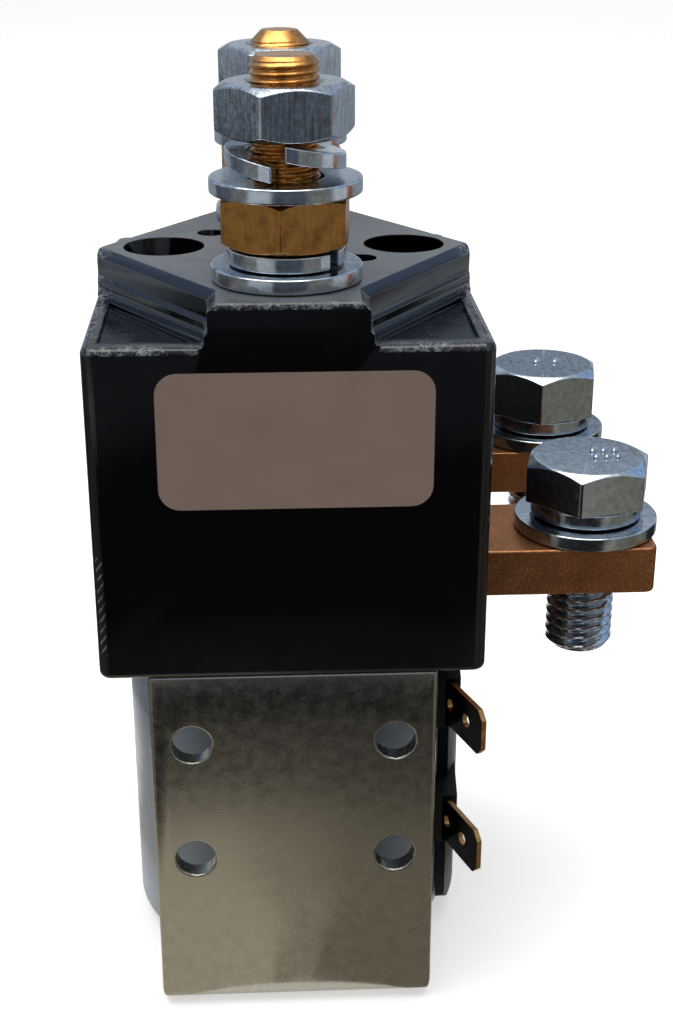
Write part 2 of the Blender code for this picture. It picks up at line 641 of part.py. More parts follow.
def insulator_base():
    """Moulded block on the yoke that carries the busbars' inner ends and the rod's bush."""
    x = HALF_WIDTH - HOUSING_WALL - GAP
    y = HALF_DEPTH - HOUSING_WALL - GAP
    plan = rounded_box_outline(-x, x, -y, y, HOUSING_CORNER, 3)
    base = loft("insulator_base", [(INSULATOR_BOTTOM_Z, plan), (INSULATOR_TOP_Z, plan)], black_nylon())
    post = POST_RADIUS + GAP
    low, high = INSULATOR_BOTTOM_Z - INSULATOR_HEIGHT / 4, INSULATOR_TOP_Z + INSULATOR_HEIGHT / 4
    tools = [plug(BUSH_RADIUS + GAP, low, high, steps=24),
             plug(BUSH_FLANGE_RADIUS + GAP, low, INSULATOR_BOTTOM_Z + BUSH_FLANGE_THICKNESS + GAP, steps=24)]
    for sign in (-1, 1):
        cx = sign * WELL_X
        outline = rounded_box_outline(min(cx - post, sign * 2 * x), max(cx + post, sign * 2 * x), -post, post,
                                      post - SKIN_GAP, 8)
        tools.append(loft("post_notch", [(low, outline), (high, outline)]))
    cut(base, *tools)
    z0, z1 = INSULATOR_BOTTOM_Z, INSULATOR_TOP_Z - GAP
    step = z0 + BUSH_FLANGE_THICKNESS
    flange = [(ROD_HOLE, z0), (BUSH_FLANGE_RADIUS, z0), (BUSH_FLANGE_RADIUS, step), (BUSH_RADIUS, step)]
    lathe("rod_bush", flange + [(BUSH_RADIUS, z1), (ROD_HOLE, z1)], bush_plastic(), steps=20)


def plateau_corner_outline(sx, sy, grow):
    """Return the plan of one corner's cut-away, drawn back from the plateau's wall by grow."""
    over = 2 * HOUSING_WALL
    slant = math.hypot(1.0, PLATEAU_SLOPE)
    reach = HALF_WIDTH + PLATEAU_SLOPE * PLATEAU_END_FLAT + grow * slant
    boss = BOSS_HALF_WIDTH + grow
    knee_y = (reach - boss) / PLATEAU_SLOPE
    far_x = HALF_WIDTH + over
    far_y = HALF_DEPTH + over
    along = Vector((1.0, -1.0 / PLATEAU_SLOPE)).normalized()
    turn = math.acos(max(-1.0, min(1.0, along.dot(Vector((0.0, -1.0))))))
    trim = BOSS_FILLET * math.tan(turn / 2)
    start = Vector((boss, knee_y)) + along * trim
    centre = start + Vector((1.0, PLATEAU_SLOPE)).normalized() * BOSS_FILLET
    first = math.atan2(start.y - centre.y, start.x - centre.x)
    fillet = arc_points(centre.x, centre.y, BOSS_FILLET, first, -math.pi, 5)
    points = [(far_x, (reach - far_x) / PLATEAU_SLOPE)] + fillet + [(boss, far_y), (far_x, far_y)]
    return [(sx * x, sy * y) for x, y in points]


def corner_cutter(sx, sy):
    """Return the stepped cutter that leaves one ledge beside the plateau."""
    step_z = LEDGE_Z + STEP_HEIGHT
    edge_z = PLATEAU_Z - PLATEAU_EDGE_CHAMFER
    top_z = PLATEAU_Z + PLATEAU_EDGE_CHAMFER
    fillet = STEP_FILLET
    soft = fillet * (1.0 - math.sqrt(0.5))
    foot = STEP_OUT + fillet
    layers = [(LEDGE_Z - 2 * PLATEAU_ROOT, foot), (LEDGE_Z, foot), (LEDGE_Z + soft, STEP_OUT + soft),
              (LEDGE_Z + fillet, STEP_OUT), (step_z - STEP_OUT, STEP_OUT), (step_z, 0.0),
              (edge_z, 0.0), (top_z, -2 * PLATEAU_EDGE_CHAMFER)]
    return loft("corner_cutter", [(z, plateau_corner_outline(sx, sy, grow)) for z, grow in layers])


def ledge_panel(sx, sy):
    """Return the cutter for the shallow three-cornered panel in one ledge."""
    slant = math.hypot(1.0, PLATEAU_SLOPE)
    reach = HALF_WIDTH + PLATEAU_SLOPE * PLATEAU_END_FLAT + (STEP_OUT + STEP_FILLET + LEDGE_WALL_RIM) * slant
    x1 = HALF_WIDTH - LEDGE_RIM
    y1 = HALF_DEPTH - LEDGE_END_RIM
    points = [(x1, (reach - x1) / PLATEAU_SLOPE), (x1, y1), (reach - PLATEAU_SLOPE * y1, y1)]
    outline = [(sx * x, sy * y) for x, y in points]
    low, high = LEDGE_Z - LEDGE_PANEL_DEPTH, LEDGE_Z + LEDGE_PANEL_DEPTH
    return loft("ledge_panel", [(low, outline), (high, outline)])


def moulded_layers(z0, z1, round_foot):
    """Return the outlines of a housing block with a round rim, and with a round foot if asked for."""
    r = HOUSING_EDGE_ROUND
    turns = [math.pi / 6 * k for k in range(4)]
    foot = [(z0 + r * (1 - math.sin(a)), r * (1 - math.cos(a))) for a in reversed(turns)]
    rim = [(z1 - r * (1 - math.sin(a)), r * (1 - math.cos(a))) for a in turns]
    layers = []
    for z, inset in (foot if round_foot else [(z0, 0.0)]) + rim:
        x, y = HALF_WIDTH - inset, HALF_DEPTH - inset
        corner = max(HOUSING_CORNER - inset, HOUSING_LIP_CORNER)
        layers.append((z, rounded_box_outline(-x, x, -y, y, corner, 4)))
    return layers


def housing():
    """Phenolic shell: stepped plateau on top, deep screw wells, open underneath."""
    corners = [(sx, sy) for sx in (-1, 1) for sy in (-1, 1)]
    shell = loft("housing", moulded_layers(HOUSING_BOTTOM_Z, LEDGE_Z, True), phenolic())
    plateau = loft("plateau", moulded_layers(LEDGE_Z - PLATEAU_ROOT, PLATEAU_Z, False), phenolic())
    cut(plateau, *[corner_cutter(sx, sy) for sx, sy in corners])
    unite(shell, plateau)
    cut(shell, *[ledge_panel(sx, sy) for sx, sy in corners])
    cut(shell, housing_cavity())
    over = HOUSING_WALL
    tools = []
    for sign in (-1, 1):
        centre = (sign * WELL_X, 0.0)
        tools.append(plug(WELL_DIAMETER / 2, WELL_FLOOR_Z, PLATEAU_Z + over, centre))
        tools.append(plug(SCREW_RADIUS + GAP, HOUSING_BOTTOM_Z - over, WELL_FLOOR_Z + over, centre, 16))
        pilot = (sign * PILOT_X, -sign * PILOT_Y)
        tools.append(plug(PILOT_DIAMETER / 2, PLATEAU_Z - PILOT_DEPTH, PLATEAU_Z + over, pilot, 20))
    half = BUSBAR_WIDTH / 2 + GAP
    for _, sign in SIDE_SIGNS:
        tools.append(plug(THREAD_RADIUS + GAP, ROOF_Z - over, PLATEAU_Z + over, (0.0, sign * STUD_Y), 24))
        tools.append(block("busbar_slot", (0.0, sign * STUD_Y - half, BUSBAR_BOTTOM_Z - GAP),
                           (HALF_WIDTH + over, sign * STUD_Y + half, BUSBAR_TOP_Z + GAP)))
    return cut(shell, *tools)


def housing_cavity():
    """Return the cutter for the inside: the room less a post round each screw well."""
    x = HALF_WIDTH - HOUSING_WALL
    y = HALF_DEPTH - HOUSING_WALL
    over = HOUSING_WALL
    room = loft("cavity", [(HOUSING_BOTTOM_Z - over, rounded_box_outline(-x, x, -y, y, HOUSING_CORNER, 3)),
                           (ROOF_Z, rounded_box_outline(-x, x, -y, y, HOUSING_CORNER, 3))])
    low, high = HOUSING_BOTTOM_Z - 2 * over, ROOF_Z + over
    posts = [plug(POST_RADIUS, low, high, (sign * WELL_X, 0.0)) for sign in (-1, 1)]
    return cut(room, *posts)


def housing_screws():
    """Socket screws at the bottom of the wells, threaded into the yoke's ears."""
    for word, sign in (("left", -1), ("right", 1)):
        centre = (sign * WELL_X, 0.0)
        z = WELL_FLOOR_Z + GAP
        top = z + SCREW_HEAD_HEIGHT
        shank = [(0.0, YOKE_BOTTOM_Z), (SCREW_RADIUS, YOKE_BOTTOM_Z), (SCREW_RADIUS, z)]
        head = [(SCREW_HEAD_RADIUS, z), (SCREW_HEAD_RADIUS, top), (0.0, top)]
        screw = lathe(f"housing_screw_{word}", shank + head, zinc(), centre, 20)
        outline = [(centre[0] + x, centre[1] + y) for x, y in hexagon(SCREW_SOCKET, 0.0)]
        cut(screw, loft("socket", [(top - SCREW_SOCKET_DEPTH, outline), (top + GAP, outline)]))


def front_label():
    """Bare rounded label on the housing's front face."""
    half = LABEL_WIDTH / 2
    outline = rounded_box_outline(LABEL_X - half, LABEL_X + half, LABEL_Z - LABEL_HEIGHT / 2,
                                  LABEL_Z + LABEL_HEIGHT / 2, LABEL_CORNER, 6)
    turn = Matrix(((1, 0, 0, 0), (0, 0, 1, 0), (0, 1, 0, 0), (0, 0, 0, 1)))
    back = -HALF_DEPTH - SKIN_GAP
    return loft("front_label", [(back - LABEL_THICKNESS, outline), (back, outline)], label_film(), turn)


def hexagon(across_flats, corner_angle):
    """Return a hexagon with one corner at corner_angle from -Y towards +X."""
    radius = across_flats / math.sqrt(3)
    points = []
    for k in range(6):
        a = corner_angle + k * math.pi / 3 - math.pi / 2
        points.append((radius * math.cos(a), radius * math.sin(a)))
    return points


def hexagon_piece(name, centre, z, height, across_flats, bore, corner_angle, mat, both_ends=True, steps=24):
    """Hexagon with cone-cut corners at the top, or at both ends, and a bore if asked for."""
    outline = [(centre[0] + x, centre[1] + y) for x, y in hexagon(across_flats, corner_angle)]
    piece = loft(name, [(z, outline), (z + height, outline)], mat)
    flat = across_flats / 2 - HEX_CHAMFER_INSET
    corner = across_flats / math.sqrt(3) + HEX_CONE_OVER
    drop = (corner - flat) * HEX_CHAMFER_SLOPE
    low = [(0.0, z), (flat, z), (corner, z + drop)] if both_ends else [(0.0, z - GAP), (corner, z - GAP)]
    top = z + height
    high = [(corner, top - drop), (flat, top), (0.0, top)]
    combine(piece, [lathe("corner_cone", low + high, centre=centre, steps=steps)], "INTERSECT")
    if bore > 0:
        cut(piece, plug(bore, z - height, z + 2 * height, centre, steps))
    return piece


def m10_nut(name, centre, z, corner_angle, mat):
    """Hexagon nut standing on z. Returns its top."""
    hexagon_piece(name, centre, z, NUT_HEIGHT, HEX_ACROSS_FLATS, THREAD_RADIUS + GAP, corner_angle, mat)
    return z + NUT_HEIGHT


def lock_washer(name, centre, z, rise, tilt, gap_angle):
    """Split ring standing on z: rise lifts its far end, tilt leans it about Y. Returns its top."""
    outer = LOCK_WASHER_RADIUS
    inner = THREAD_RADIUS + GAP
    steps = 28
    sweep = 2 * math.pi - LOCK_WASHER_GAP
    bm = bmesh.new()
    rings = []
    section = ring_profile(inner, outer, 0.0, LOCK_WASHER_THICKNESS)
    for k in range(steps + 1):
        a = gap_angle - LOCK_WASHER_GAP / 2 - sweep * k / steps
        ring = []
        for r, up in section:
            x, y = r * math.cos(a), r * math.sin(a)
            height = up + rise * k / steps - tilt * x / (2 * outer)
            ring.append(bm.verts.new((centre[0] + x, centre[1] + y, height)))
        rings.append(ring)
    for one, two in zip(rings, rings[1:]):
        for s in range(4):
            n = (s + 1) % 4
            bm.faces.new((one[s], one[n], two[n], two[s]))
    bm.faces.new(list(reversed(rings[0])))
    bm.faces.new(rings[-1])
    drop = z - min(v.co.z for v in bm.verts)
    top = drop + max(v.co.z for v in bm.verts)
    bmesh.ops.translate(bm, vec=(0.0, 0.0, drop), verts=bm.verts)
    new_object(name, bm, zinc())
    return top


def flat_washer(name, centre, z):
    """Plain ring standing on z. Returns its top."""
    top = z + WASHER_THICKNESS
    lathe(name, ring_profile(THREAD_RADIUS + GAP, WASHER_RADIUS, z, top), zinc(), centre, 28)
    return top


def stud_stack(word, sign, lower_angle, upper_angle, open_gap_angle, lean, protrusion):
    """Stud through the roof, with its tightened lower nut and the loose upper hardware."""
    centre = (0.0, sign * STUD_Y)
    seat_gap_angle = open_gap_angle + math.pi / 3
    z = flat_washer(f"seat_washer_{word}", centre, PLATEAU_Z + GAP) + GAP
    z = lock_washer(f"seat_lock_washer_{word}", centre, z, LOCK_WASHER_SET, 0.0, seat_gap_angle) + GAP
    z = m10_nut(f"brass_nut_{word}", centre, z, lower_angle, brass()) + GAP
    z = flat_washer(f"lug_washer_{word}", centre, z) + GAP
    z = lock_washer(f"lug_lock_washer_{word}", centre, z, LOCK_WASHER_RISE, lean, open_gap_angle) + GAP
    top = m10_nut(f"lug_nut_{word}", centre, z, upper_angle, zinc()) + protrusion
    shoulder = ROOF_Z - GAP
    c = STUD_TIP_CHAMFER
    collar = [(0.0, STUD_BOTTOM_Z), (STUD_COLLAR_RADIUS, STUD_BOTTOM_Z), (STUD_COLLAR_RADIUS, shoulder)]
    shank = [(THREAD_RADIUS, shoulder), (THREAD_RADIUS, top - c), (THREAD_RADIUS - c, top), (0.0, top)]
    lathe(f"contact_stud_{word}", collar + shank, brass(), centre, 24)
    contact_tip(f"stud_tip_{word}", sign, STUD_TIP_Z)


def busbar(word, sign):
    """Copper bar out through the +X wall, with a tapped hole and a contact tip."""
    y = sign * STUD_Y
    half = BUSBAR_WIDTH / 2
    outline = rounded_box_outline(BUSBAR_INNER_X, BUSBAR_END_X, y - half, y + half, BUSBAR_CORNER)
    bar = loft(f"busbar_{word}", [(BUSBAR_BOTTOM_Z, outline), (BUSBAR_TOP_Z, outline)], copper())
    low, high = BUSBAR_BOTTOM_Z - BUSBAR_THICKNESS, BUSBAR_TOP_Z + BUSBAR_THICKNESS
    cut(bar, plug(THREAD_RADIUS + GAP, low, high, (BUSBAR_HOLE_X, y), 24))
    contact_tip(f"busbar_tip_{word}", sign, BUSBAR_TIP_Z)


def side_bolt(word, sign, corner_angle, head_height):
    """Hexagon bolt in the busbar's tapped hole, with its flat and split washers."""
    centre = (BUSBAR_HOLE_X, sign * STUD_Y)
    z = flat_washer(f"side_washer_{word}", centre, BUSBAR_TOP_Z + GAP) + GAP
    z = lock_washer(f"side_lock_washer_{word}", centre, z, LOCK_WASHER_SET, 0.0, corner_angle + math.pi) + GAP
    head = hexagon_piece(f"side_bolt_{word}", centre, z, head_height, HEX_ACROSS_FLATS, 0.0, corner_angle,
                         zinc(), both_ends=False)
    c = STUD_TIP_CHAMFER
    end = z - BOLT_LENGTH
    overlap = z + head_height / 2
    point = [(0.0, end), (THREAD_RADIUS - c, end), (THREAD_RADIUS, end + c)]
    shank = lathe("shank", point + [(THREAD_RADIUS, overlap), (0.0, overlap)], centre=centre, steps=24)
    unite(head, shank)


def build():
    clear_scene()
    magnet_frame()
    yoke_plate()
    coil()
    terminal_carrier()
    spade_terminal("spade_terminal_lower", TAB_LOW_Z)
    spade_terminal("spade_terminal_upper", TAB_LOW_Z + TAB_PITCH_Z)
    magnet_core()
    armature()
    springs()
    insulator_base()
    contact_bridge()
    housing()
    housing_screws()
    front_label()
    stud_stack("front", -1, math.radians(-6.0), math.radians(-20.3), math.radians(-98.0),
               FRONT_WASHER_LEAN, FRONT_STUD_PROTRUSION)
    stud_stack("rear", 1, math.radians(17.0), math.radians(32.0), math.radians(64.0),
               REAR_WASHER_LEAN, REAR_STUD_PROTRUSION)
    for word, sign in SIDE_SIGNS:
        busbar(word, sign)
    side_bolt("front", -1, math.radians(-16.0), FRONT_BOLT_HEAD)
    side_bolt("rear", 1, math.radians(-10.0), REAR_BOLT_HEAD)


build()
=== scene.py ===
"""High voltage DC changeover contactor, dressed over its CAD frame.

Run as a script: it registers its operators, makes every piece with them, and
leaves the finished model with its studio. Sizes are in metres.
"""
import json
import math

import bmesh
import bpy
from bpy.props import FloatProperty, FloatVectorProperty, IntProperty, PointerProperty
from mathutils import Matrix, Vector


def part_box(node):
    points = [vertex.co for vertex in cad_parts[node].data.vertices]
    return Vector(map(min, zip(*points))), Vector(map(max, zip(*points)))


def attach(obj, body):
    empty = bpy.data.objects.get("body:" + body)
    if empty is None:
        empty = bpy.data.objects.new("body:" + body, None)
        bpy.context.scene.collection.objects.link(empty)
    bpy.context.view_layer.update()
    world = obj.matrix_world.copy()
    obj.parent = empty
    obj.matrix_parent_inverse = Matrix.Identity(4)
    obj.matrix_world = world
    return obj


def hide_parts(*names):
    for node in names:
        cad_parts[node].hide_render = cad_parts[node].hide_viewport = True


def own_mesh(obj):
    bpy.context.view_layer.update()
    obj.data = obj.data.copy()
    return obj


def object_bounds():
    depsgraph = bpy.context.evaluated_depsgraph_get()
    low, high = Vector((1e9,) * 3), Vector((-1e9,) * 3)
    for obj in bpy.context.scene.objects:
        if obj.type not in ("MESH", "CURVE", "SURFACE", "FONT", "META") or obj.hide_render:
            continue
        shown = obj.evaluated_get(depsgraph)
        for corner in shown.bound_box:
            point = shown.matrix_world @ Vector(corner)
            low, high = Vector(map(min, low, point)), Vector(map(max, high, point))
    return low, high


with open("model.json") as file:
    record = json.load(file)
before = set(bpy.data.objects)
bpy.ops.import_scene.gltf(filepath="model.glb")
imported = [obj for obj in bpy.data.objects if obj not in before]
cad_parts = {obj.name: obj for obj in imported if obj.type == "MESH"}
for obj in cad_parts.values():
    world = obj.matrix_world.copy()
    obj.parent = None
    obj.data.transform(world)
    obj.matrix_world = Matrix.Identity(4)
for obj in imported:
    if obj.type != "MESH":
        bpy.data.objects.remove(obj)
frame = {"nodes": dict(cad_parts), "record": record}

bl_info = {
    "name": "Changeover contactor",
    "version": (1, 0, 0),
    "blender": (4, 5, 0),
    "location": "3D View > Sidebar > Contactor",
    "description": "Dresses the CAD frame of a DC changeover contactor",
    "category": "Object",
}

CAD_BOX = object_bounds()
BODY_OF = {node: body for body, nodes in frame["record"]["behaviour"]["bodies"].items() for node in nodes}
SIDES = ("front", "rear")
MM = 0.001
PER_MM = 1000.0
TURN = 2.0 * math.pi
EVEN = (1.0, 1.0, 1.0)
WHITE = (1.0, 1.0, 1.0, 1.0)
TRAVEL = {joint["name"]: joint["range_m"][1] for joint in frame["record"]["behaviour"]["joints"]}

# How far loose hardware is drawn into the thin gap at its seats
SEAT = 0.14 * MM

# Rows of faces in one turn of a thread
ROWS_PER_TURN = 12

# A point nearer than this to the axis is on it; faces that meet at a wider angle than this stay sharp
ON_AXIS = 1e-7
SHARP = math.radians(32.0)

# What the floor shows above its shading, so that it fades into the white of the photograph
FLOOR_GLOW = 0.42

# Degrees that the coil tabs are turned from the front
TAB_YAW = 20.3

# Depths below the housing's roof: the shoulder of a stud's collar, and the start of its thread
COLLAR_DEPTH = 13.3 * MM
THREAD_DEPTH = 7.0 * MM

# Rounding of sheared and moulded edges, cone cut and corner nose of a steel hexagon
EDGE = 0.2 * MM
HEX_CUT = 0.42 * MM
HEX_NOSE = 0.6 * MM


def linear(code):
    """Turn an sRGB hex colour into linear RGBA."""
    channels = [int(code[i:i + 2], 16) / 255.0 for i in (1, 3, 5)]
    return tuple(c / 12.92 if c <= 0.04045 else ((c + 0.055) / 1.055) ** 2.4 for c in channels) + (1.0,)


def colour_of(name, description, code):
    return FloatVectorProperty(name=name, description=description, default=linear(code)[:3], size=3,
                               subtype="COLOR", min=0.0, max=1.0)


def length_of(name, description, millimetres):
    return FloatProperty(name=name, description=description, default=millimetres * MM, unit="LENGTH", min=0.0,
                         precision=5)


def rgba(colour):
    return (*colour, 1.0)


def add_node(tree, kind, inputs=None, **settings):
    """Add a node, give it its settings, and link or fill its inputs."""
    node = tree.nodes.new(kind)
    for name, value in settings.items():
        setattr(node, name, value)
    for key, value in (inputs or {}).items():
        if isinstance(value, bpy.types.NodeSocket):
            tree.links.new(value, node.inputs[key])
        else:
            node.inputs[key].default_value = value
    return node


def start_finish(name, *grains, **values):
    """Return a new material and its noises.

    Each noise is (stretch, scale per millimetre, detail, roughness).
    """
    mat = bpy.data.materials.new(name)
    mat.use_nodes = True
    tree = mat.node_tree
    for key, value in values.items():
        tree.nodes["Principled BSDF"].inputs[key.replace("_", " ")].default_value = value
    place = add_node(tree, "ShaderNodeTexCoord")
    noises = []
    for stretch, scale, detail, rough in grains:
        space = add_node(tree, "ShaderNodeMapping", {
            "Vector": place.outputs["Object"], "Scale": [share * PER_MM for share in stretch]})
        noises.append(add_node(tree, "ShaderNodeTexNoise", {
            "Vector": space.outputs[0], "Scale": scale, "Detail": detail, "Roughness": rough}))
    return (mat, *noises)


def two_tones(mat, pick, one, two):
    """Return two colours mixed by a range of (source, low, high, share at low, share at high)."""
    source, *limits = pick
    tree = mat.node_tree
    share = add_node(tree, "ShaderNodeMapRange", {0: source.outputs[0], **dict(enumerate(limits, 1))})
    mix = add_node(tree, "ShaderNodeMix", {0: share.outputs[0], 6: one, 7: two}, data_type="RGBA")
    return mix.outputs[2]


def end_finish(mat, colour, shades, rough, relief=None):
    """Give a material its colour times its shades, its roughness and its relief, and return it.

    Each shade and the roughness are (source, low, high, value at low, value at high), and the
    relief is (source, strength, depth in millimetres).
    """
    tree = mat.node_tree
    shader = tree.nodes["Principled BSDF"]
    levels = []
    for source, *limits in (*shades, rough):
        level = add_node(tree, "ShaderNodeMapRange", {0: source.outputs[0], **dict(enumerate(limits, 1))})
        levels.append(level.outputs[0])
    for level in levels[:-1]:
        mix = add_node(tree, "ShaderNodeMix", {0: 1.0, 6: colour, 7: level}, data_type="RGBA",
                       blend_type="MULTIPLY")
        colour = mix.outputs[2]
    tree.links.new(colour, shader.inputs["Base Color"])
    tree.links.new(levels[-1], shader.inputs["Roughness"])
    if relief:
        source, strength, depth = relief
        bump = add_node(tree, "ShaderNodeBump", {
            "Height": source.outputs[0], "Strength": strength, "Distance": depth * MM})
        tree.links.new(bump.outputs[0], shader.inputs["Normal"])
    return mat


def placed(name, data):
    """Return a new object with the given data, linked into the scene."""
    piece = bpy.data.objects.new(name, data)
    bpy.context.scene.collection.objects.link(piece)
    return piece


def cleared_tree(owner):
    """Return the empty node tree of a material or a world."""
    owner.use_nodes = True
    owner.node_tree.nodes.clear()
    return owner.node_tree


def own_body(name, bm, mat):
    """Turn a bmesh into an object at the origin, smooth but for its real edges."""
    bmesh.ops.recalc_face_normals(bm, faces=bm.faces)
    mesh = bpy.data.meshes.new(name)
    bm.to_mesh(mesh)
    bm.free()
    mesh.materials.append(mat)
    mesh.shade_smooth()
    mesh.set_sharp_from_angle(angle=SHARP)
    return placed(name, mesh)


def stand_for(piece, node):
    """Let a piece ride with a CAD node's body and replace it."""
    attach(piece, BODY_OF[node])
    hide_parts(node)
    return piece


def even_normals(piece):
    """Keep large flat faces flat beside their small roundings."""
    step = piece.modifiers.new("even_normals", "WEIGHTED_NORMAL")
    step.keep_sharp = True


def finish_of(maker, group):
    """Return a maker's material, made on its first use."""
    return bpy.data.materials.get(maker.__name__) or maker(group)


def give_finish(mat, *nodes):
    """Put a finish on CAD nodes that keep their own mesh."""
    for node in nodes:
        for slot in frame["nodes"][node].material_slots:
            slot.material = mat


def merged_copy(node):
    """Return a closed bmesh of a CAD node, with its flat faces joined."""
    bm = bmesh.new()
    bm.from_mesh(frame["nodes"][node].data)
    bmesh.ops.remove_doubles(bm, verts=bm.verts, dist=0.002 * MM)
    bmesh.ops.dissolve_limit(bm, angle_limit=math.radians(0.5), verts=bm.verts, edges=bm.edges)
    return bm


def softened(node, mat, width, segments=2, angle=30.0, clamp=True):
    """Replace a CAD node by a copy whose real edges are rounded, kept inside the node's own box."""
    piece = own_body(f"{node}_dressed", merged_copy(node), mat)
    edge = piece.modifiers.new("edge_round", "BEVEL")
    edge.width = width
    edge.segments = segments
    edge.limit_method = "ANGLE"
    edge.angle_limit = math.radians(angle)
    edge.use_clamp_overlap = clamp
    edge.harden_normals = True
    graph = bpy.context.evaluated_depsgraph_get()
    mesh = bpy.data.meshes.new_from_object(piece.evaluated_get(graph))
    piece.modifiers.clear()
    piece.data = mesh
    low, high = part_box(node)
    for vertex in mesh.vertices:
        vertex.co = [min(max(value, low[i]), high[i]) for i, value in enumerate(vertex.co)]
    stand_for(piece, node)


def axis_of(node):
    """Return the plan centre of a round CAD node."""
    low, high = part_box(node)
    return ((low[0] + high[0]) / 2.0, (low[1] + high[1]) / 2.0)


def lathe(bm, profile, centre, steps=96):
    """Add a closed (radius, height) loop turned about a vertical axis."""
    rings = []
    for radius, z in profile:
        if radius < ON_AXIS:
            rings.append([bm.verts.new((centre[0], centre[1], z))])
            continue
        turns = [TURN * k / steps for k in range(steps)]
        rings.append([bm.verts.new((centre[0] + radius * math.cos(a), centre[1] + radius * math.sin(a), z))
                      for a in turns])
    for one, two in zip(rings, rings[1:] + rings[:1]):
        if len(one) == 1 and len(two) == 1:
            continue
        for k in range(steps):
            n = (k + 1) % steps
            corners = [one[k % len(one)], one[n % len(one)], two[n % len(two)], two[k % len(two)]]
            bm.faces.new(list(dict.fromkeys(corners)))


def round_corners(points, radius, steps=3):
    """Round the corners of a closed loop, but not those on the axis or beside a short side."""
    out = []
    for i, point in enumerate(points):
        here = Vector(point)
        back = Vector(points[i - 1]) - here
        ahead = Vector(points[(i + 1) % len(points)]) - here
        if here.x < ON_AXIS or back.length < 2.5 * radius or ahead.length < 2.5 * radius:
            out.append(point)
            continue
        a, b = here + back.normalized() * radius, here + ahead.normalized() * radius
        for k in range(steps + 1):
            t = k / steps
            out.append(tuple(a * (1 - t) ** 2 + here * (2 * t * (1 - t)) + b * t ** 2))
    return out


class CONTACTOR_PG_housing(bpy.types.PropertyGroup):
    colour: colour_of("Colour", "Moulded body of the housing", "#030304")
    dust: colour_of("Dust", "Grey film and scuffs on its tops", "#83878A")
    edge: length_of("Edge", "Rounding of the steps and the hole rims", 0.12)


class CONTACTOR_PG_metal(bpy.types.PropertyGroup):
    zinc: colour_of("Zinc", "Bright blue-passivated zinc of the loose hardware", "#C6CED6")
    zinc_stain: colour_of("Zinc stain", "Yellowed patches in the zinc", "#A39A88")
    strip: colour_of("Strip", "Dulled zinc of the folded frame", "#A9A598")
    brass: colour_of("Brass", "Turned brass of studs and lower nuts", "#DA9C58")
    brass_stain: colour_of("Brass stain", "Brown stains on the brass", "#83491C")
    # Painted shade on the flat faces of the coil tabs, and a painted highlight on their sheared edges and hole
    # walls
    tab_shaded_face: colour_of("Tab", "Dark faces of the coil tabs, painted shade", "#4A3A28")
    tab_lit_edge: colour_of("Tab edge", "Sheared edges of the coil tabs", "#C79A62")
    copper: colour_of("Copper", "Oxidised rolled copper of the bars", "#B97A52")
    # Painted glints: fine yellow specks on the bars
    copper_glint: colour_of("Copper speck", "Fine yellow specks on the bars", "#E0B070")


class CONTACTOR_PG_coil(bpy.types.PropertyGroup):
    film: colour_of("Film", "Polyester film round the coil", "#5F6A74")
    plastic: colour_of("Plastic", "Bobbin, terminal strip and insulator", "#0A0A0B")
    label: colour_of("Label", "Bare label film on the front", "#766359")


class CONTACTOR_PG_thread(bpy.types.PropertyGroup):
    bolt_pitch: length_of("Bolt pitch", "Pitch of the bolts' coarse thread", 1.5)
    bolt_depth: length_of("Bolt depth", "Depth of the bolts' thread", 0.8)
    stud_pitch: length_of("Stud pitch", "Pitch of the studs' fine thread", 1.0)
    stud_depth: length_of("Stud depth", "Depth of the studs' thread", 0.38)
    radius: length_of("Bolt radius", "Radius over the bolts' crests", 4.97)
    stud_radius: length_of("Stud radius", "Radius over the studs' crests", 4.72)
    segments: IntProperty(name="Segments", description="Steps in one turn", default=72, min=12, max=256)


class CONTACTOR_PG_stage(bpy.types.PropertyGroup):
    floor: colour_of("Floor", "Pale floor", "#E9E9E9")
    ceiling: FloatProperty(name="Ceiling light", description="Overhead lamp in watts", default=9.0, min=0.0)
    world: FloatProperty(name="Room light", description="Soft light from all round", default=0.62, min=0.0)


class CONTACTOR_PG_settings(bpy.types.PropertyGroup):
    housing: PointerProperty(type=CONTACTOR_PG_housing, name="Housing", description="Moulded housing")
    metal: PointerProperty(type=CONTACTOR_PG_metal, name="Metal", description="Metal finishes")
    coil: PointerProperty(type=CONTACTOR_PG_coil, name="Coil", description="Coil, strip and label")
    thread: PointerProperty(type=CONTACTOR_PG_thread, name="Thread", description="M10 threads")
    stage: PointerProperty(type=CONTACTOR_PG_stage, name="Stage", description="Floor and lamps")


def zinc_surface(name, metal, drawn):
    """Bright blue-passivated zinc: bluish mirror, faint yellow patches; drawn bar keeps its die lines."""
    # Die lines lie about 0.1 mm apart; they are drawn 0.3 mm apart so that they show
    mat, lines, patches, clouds = start_finish(
        name, ((1.0, 1.0, 0.07) if drawn else EVEN, 3.2 if drawn else 0.9, 3.0, 0.5), (EVEN, 0.4, 5.0, 0.6),
        (EVEN, 1.4, 5.0, 0.7), Metallic=1.0)
    tone = two_tones(mat, (patches, 0.54, 0.72, 0.0, 0.6), rgba(metal.zinc), rgba(metal.zinc_stain))
    shades = (lines, 0.32, 0.68, 0.55 if drawn else 0.9, 1.12), (clouds, 0.35, 0.65, 0.8, 1.05)
    rough = (clouds, 0.35, 0.65, 0.12, 0.30 if drawn else 0.22)
    return end_finish(mat, tone, shades, rough, (lines, 0.3, 0.015))


def bright_zinc_bar(metal):
    return zinc_surface("bright_zinc_bar", metal, True)


def bright_zinc_plate(metal):
    return zinc_surface("bright_zinc_plate", metal, False)


